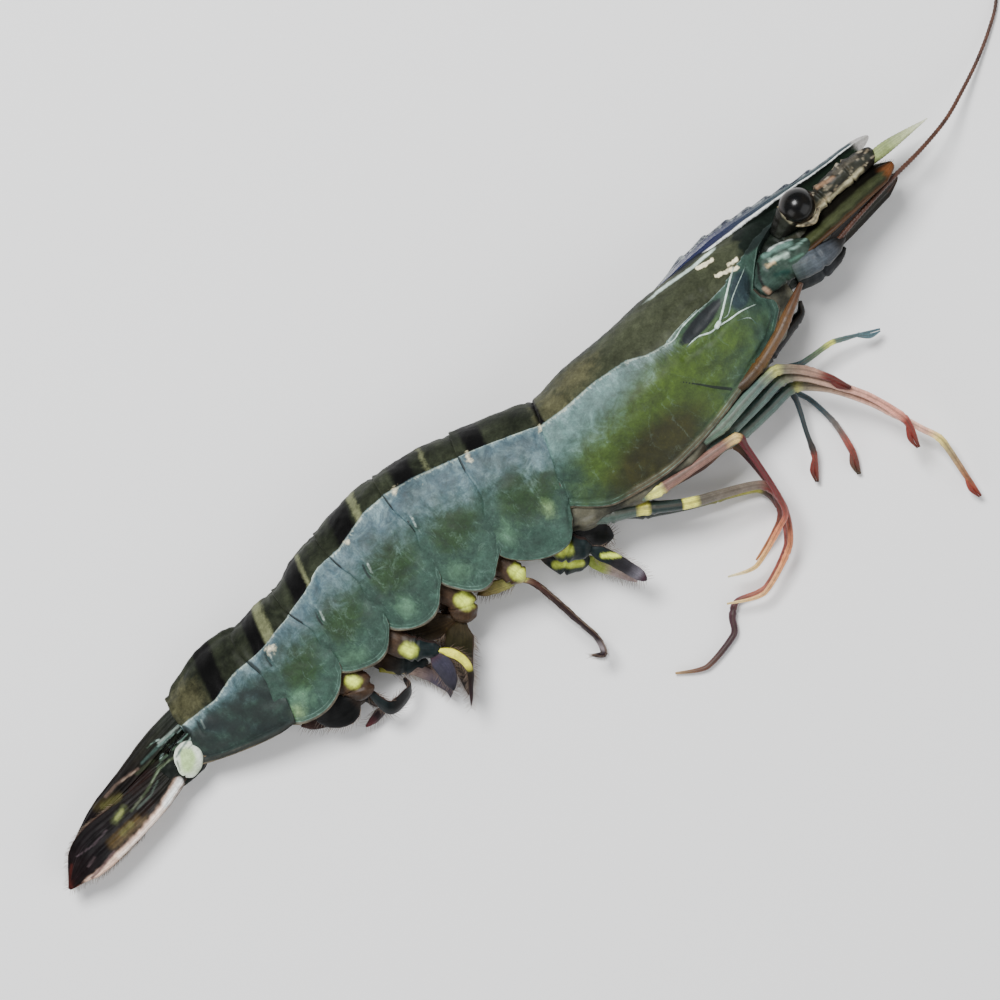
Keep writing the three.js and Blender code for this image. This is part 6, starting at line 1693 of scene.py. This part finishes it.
def whip_material():
    """Chitin of the long feeler, made of hundreds of short rings. Dull red brown, darker in the joints."""
    return material("Feeler chitin, ringed", (), [
        ("patches", "TexNoise", {}, {"Vector": "place.Object", "Scale": per(3), "Detail": 5,
                                     "Roughness": 0.7}),
        ("tone", "MapRange", {}, {"Value": "patches", "From Min": 0.35, "From Max": 0.65}),
        ("pigment", "Mix", RGBA, {"Factor": "tone", "A": "#2b150d", "B": "#53301f"}),
        ("fine", "Bump", {}, {"Height": "patches", "Strength": 0.2, "Distance": 0.05 * MM}),
    ], {"Base Color": "pigment", "Roughness": 0.5, "Normal": "fine", "IOR": 1.54, "Specular IOR Level": 0.35})


# ---- What the add-on's buttons make ----

FLOOR_HALF, FLOOR_HEIGHT = 3.0, -1e-4  # metres
# name, power, width and place, all aimed at the middle of the body
LIGHTS = (
    ("key", 14.2, 0.32, (0.02, 0.44, 0.86)), ("fill", 5.0, 0.9, (0.34, -0.72, 0.56)),
    ("side", 3.0, 0.6, (-0.80, -0.10, 0.50)),
)
LIGHTS_AIM = (-0.01, 0, 0)
SKY_COLOUR, SKY_STRENGTH = (0.93, 0.96, 1.0, 1), 0.22
LENS, SENSOR = 135, 36  # millimetres
CAMERA_PLACE, CAMERA_TURN = (-0.01896, -0.00284, 0.685), -42


class PRAWN_OT_stage(bpy.types.Operator):
    """Lay the pale floor, the soft lights and the camera that looks straight down"""

    bl_idname = "prawn.stage"
    bl_label = "Stage"

    def execute(self, context):
        scene = context.scene
        mesh = bpy.data.meshes.new("floor")
        corners = ((-1, -1), (1, -1), (1, 1), (-1, 1))
        points = [(x * FLOOR_HALF, y * FLOOR_HALF, FLOOR_HEIGHT) for x, y in corners]
        mesh.from_pydata(points, [], [(0, 1, 2, 3)])
        paper = {"Base Color": (0.9, 0.9, 0.9, 1), "Roughness": 0.9}
        mesh.materials.append(material("Matt white paper", (), [], paper))
        linked("floor", mesh)
        world = bpy.data.worlds.new("studio")
        scene.world = world
        world.use_nodes = True
        sky = world.node_tree.nodes["Background"].inputs
        sky["Color"].default_value = SKY_COLOUR
        sky["Strength"].default_value = SKY_STRENGTH
        for name, power, size, place in LIGHTS:
            lamp = bpy.data.lights.new(name, "AREA")
            lamp.energy, lamp.size = power, size
            held = linked(name, lamp)
            held.location = place
            held.rotation_euler = (Vector(LIGHTS_AIM) - held.location).to_track_quat("-Z", "Y").to_euler()
        lens = bpy.data.cameras.new("camera")
        lens.lens, lens.sensor_width = LENS, SENSOR
        scene.camera = linked("camera", lens)
        scene.camera.location = CAMERA_PLACE
        scene.camera.rotation_euler = (0, 0, math.radians(CAMERA_TURN))
        return {"FINISHED"}


class PRAWN_OT_abdomen(bpy.types.Operator):
    """Make the six overlapping rings of shell over the abdomen"""

    bl_idname = "prawn.abdomen"
    bl_label = "Abdomen"

    def execute(self, context):
        for k, name in enumerate(RING_NAMES):
            put(abdomen_ring(k, context.scene.prawn_sizes), name + "_shell", "shell", "shell", name)
        return {"FINISHED"}


class PRAWN_OT_carapace(bpy.types.Operator):
    """Make the carapace with its carinae, and the toothed beak"""

    bl_idname = "prawn.carapace"
    bl_label = "Carapace and beak"

    def execute(self, context):
        put(carapace(context.scene.prawn_sizes), "carapace_shell", "shell", "shell", "carapace")
        put(beak(), "beak_blade", "beak", "shell", "carapace")
        return {"FINISHED"}


class PRAWN_OT_chest(bpy.types.Operator):
    """Make the soft underside of the chest and the soft front of the head"""

    bl_idname = "prawn.chest"
    bl_label = "Chest and head front"

    def execute(self, context):
        put(chest(context.scene.prawn_sizes), "chest_skin", "belly", "belly", "chest")
        put(head_front(), "head_front_skin", "belly", "belly", "head_front")
        return {"FINISHED"}


class PRAWN_OT_legs(bpy.types.Operator):
    """Make the walking legs with their joints and pincers"""

    bl_idname = "prawn.legs"
    bl_label = "Walking legs"

    def execute(self, context):
        for name, values in LEGS.items():
            put(leg(**values), name + "_skin", "leg", "legs", name)
        return {"FINISHED"}


class PRAWN_OT_swimming_legs(bpy.types.Operator):
    """Make the ten swimming legs, with hairs along their blades"""

    bl_idname = "prawn.swimming_legs"
    bl_label = "Swimming legs"

    def execute(self, context):
        hairs = Hairs()
        for i, pair in enumerate(SWIMMERETS):
            for side, word in SIDES:
                name = f"swimmeret_{i + 1}_{word}"
                put(swimmeret(pair, side, hairs), name + "_skin", "fin", "swimming_legs", name)
        finish(fringe(hairs, "swimmeret_hairs", context), "swimming_legs")
        return {"FINISHED"}


class PRAWN_OT_tail(bpy.types.Operator):
    """Make the middle plate and the two side fans of the tail, with their hairs"""

    bl_idname = "prawn.tail"
    bl_label = "Tail"

    def execute(self, context):
        hairs = Hairs()
        put(telson(), "telson_plate", "tail", "tail", "telson")
        for side, word in SIDES:
            put(tail_fan(side, hairs), f"tail_fan_{word}_blades", "tail", "tail", "tail_fan_" + word)
        finish(fringe(hairs, "tail_hairs", context), "tail")
        return {"FINISHED"}


class PRAWN_OT_head(bpy.types.Operator):
    """Make the eyes, antennules, antennal scales and the bases of the antennae"""

    bl_idname = "prawn.head"
    bl_label = "Head"

    def execute(self, context):
        hairs = Hairs()
        for side, word in SIDES:
            eye, scale = "eye_" + word, "antennal_scale_" + word
            put(globe(side), eye + "_globe", "eye", "eyes", eye)
            put(stalk(side), eye + "_stalk", "stem", "eyes", eye)
            put(antennule(side), f"antennule_{word}_skin", "stem", "feelers", "antennule_" + word)
            put(antennal_scale(side, hairs), scale + "_skin", "scale", "head_scales", scale)
            put(antenna_base(side), f"antenna_{word}_base", "stem", "feelers", "antenna_" + word)
        finish(fringe(hairs, "scale_hairs", context), "head_scales")
        return {"FINISHED"}


class PRAWN_OT_whip(bpy.types.Operator):
    """Make the long ringed feeler that droops ahead and curls back"""

    bl_idname = "prawn.whip"
    bl_label = "Long feeler"

    def execute(self, context):
        pitch = context.scene.prawn_sizes.whip_ring
        look = MATERIALS["whip"]
        piece = grown(whip_guide(), whip_tree(), ring_pitch=pitch, ring_height=WHIP_RELIEF, material=look)
        finish(piece, "feelers", "antenna_right")
        return {"FINISHED"}


MATERIALS = {}
OPERATORS = [
    PRAWN_OT_stage, PRAWN_OT_abdomen, PRAWN_OT_carapace, PRAWN_OT_chest, PRAWN_OT_head, PRAWN_OT_whip,
    PRAWN_OT_legs, PRAWN_OT_swimming_legs, PRAWN_OT_tail,
]


class PRAWN_PT_panel(bpy.types.Panel):
    """The prawn's pieces, sizes and colours"""

    bl_idname = "PRAWN_PT_panel"
    bl_label = "Raw Tiger Prawn"
    bl_space_type = "VIEW_3D"
    bl_region_type = "UI"
    bl_category = "Prawn"

    def draw(self, context):
        for group in (context.scene.prawn_sizes, context.scene.prawn_colours):
            box = self.layout.box()
            for name in group.bl_rna.properties.keys():
                if name not in ("rna_type", "name"):
                    box.prop(group, name)
        for operator in OPERATORS:
            self.layout.operator(operator.bl_idname)


CLASSES = [PrawnSizes, PrawnColours, *OPERATORS, PRAWN_PT_panel]


def register():
    for each in CLASSES:
        bpy.utils.register_class(each)
    bpy.types.Scene.prawn_sizes = bpy.props.PointerProperty(type=PrawnSizes)
    bpy.types.Scene.prawn_colours = bpy.props.PointerProperty(type=PrawnColours)


def unregister():
    del bpy.types.Scene.prawn_colours
    del bpy.types.Scene.prawn_sizes
    for each in reversed(CLASSES):
        bpy.utils.unregister_class(each)


def main():
    register()
    colours = bpy.context.scene.prawn_colours
    MATERIALS.update(
        shell=shell_material(colours), beak=beak_material(), eye=eye_material(), hair=hair_material(),
        whip=whip_material(),
        leg=limb_material("Leg chitin, thin over flesh", 5, 0.42, 0.1, "#3d342c", 0.35, 0.3),
        fin=limb_material("Fin chitin, thin and ribbed", 6, 0.42, 0.06, "#3a2622", 0.35, 0.16),
        tail=limb_material("Tail chitin, ribbed and wet", 7, 0.42, 0.0, "#3a2822", 0.3, 0.1),
        scale=limb_material("Scale chitin, stiff and ribbed", 7, 0.42, 0.0, "#4a3420", 0.25, 0.12),
        stem=limb_material("Joint chitin, scaly and wet", 4, 0.46, 0.03, "#2c3028", 0.3, 0.18),
        belly=limb_material("Membrane, soft and wet", 5, 0.5, 0.08, "#3a362a", 0.3, 0.15),
    )
    for operator in OPERATORS:
        group, name = operator.bl_idname.split(".")
        getattr(getattr(bpy.ops, group), name)()


if __name__ == "__main__":
    main()
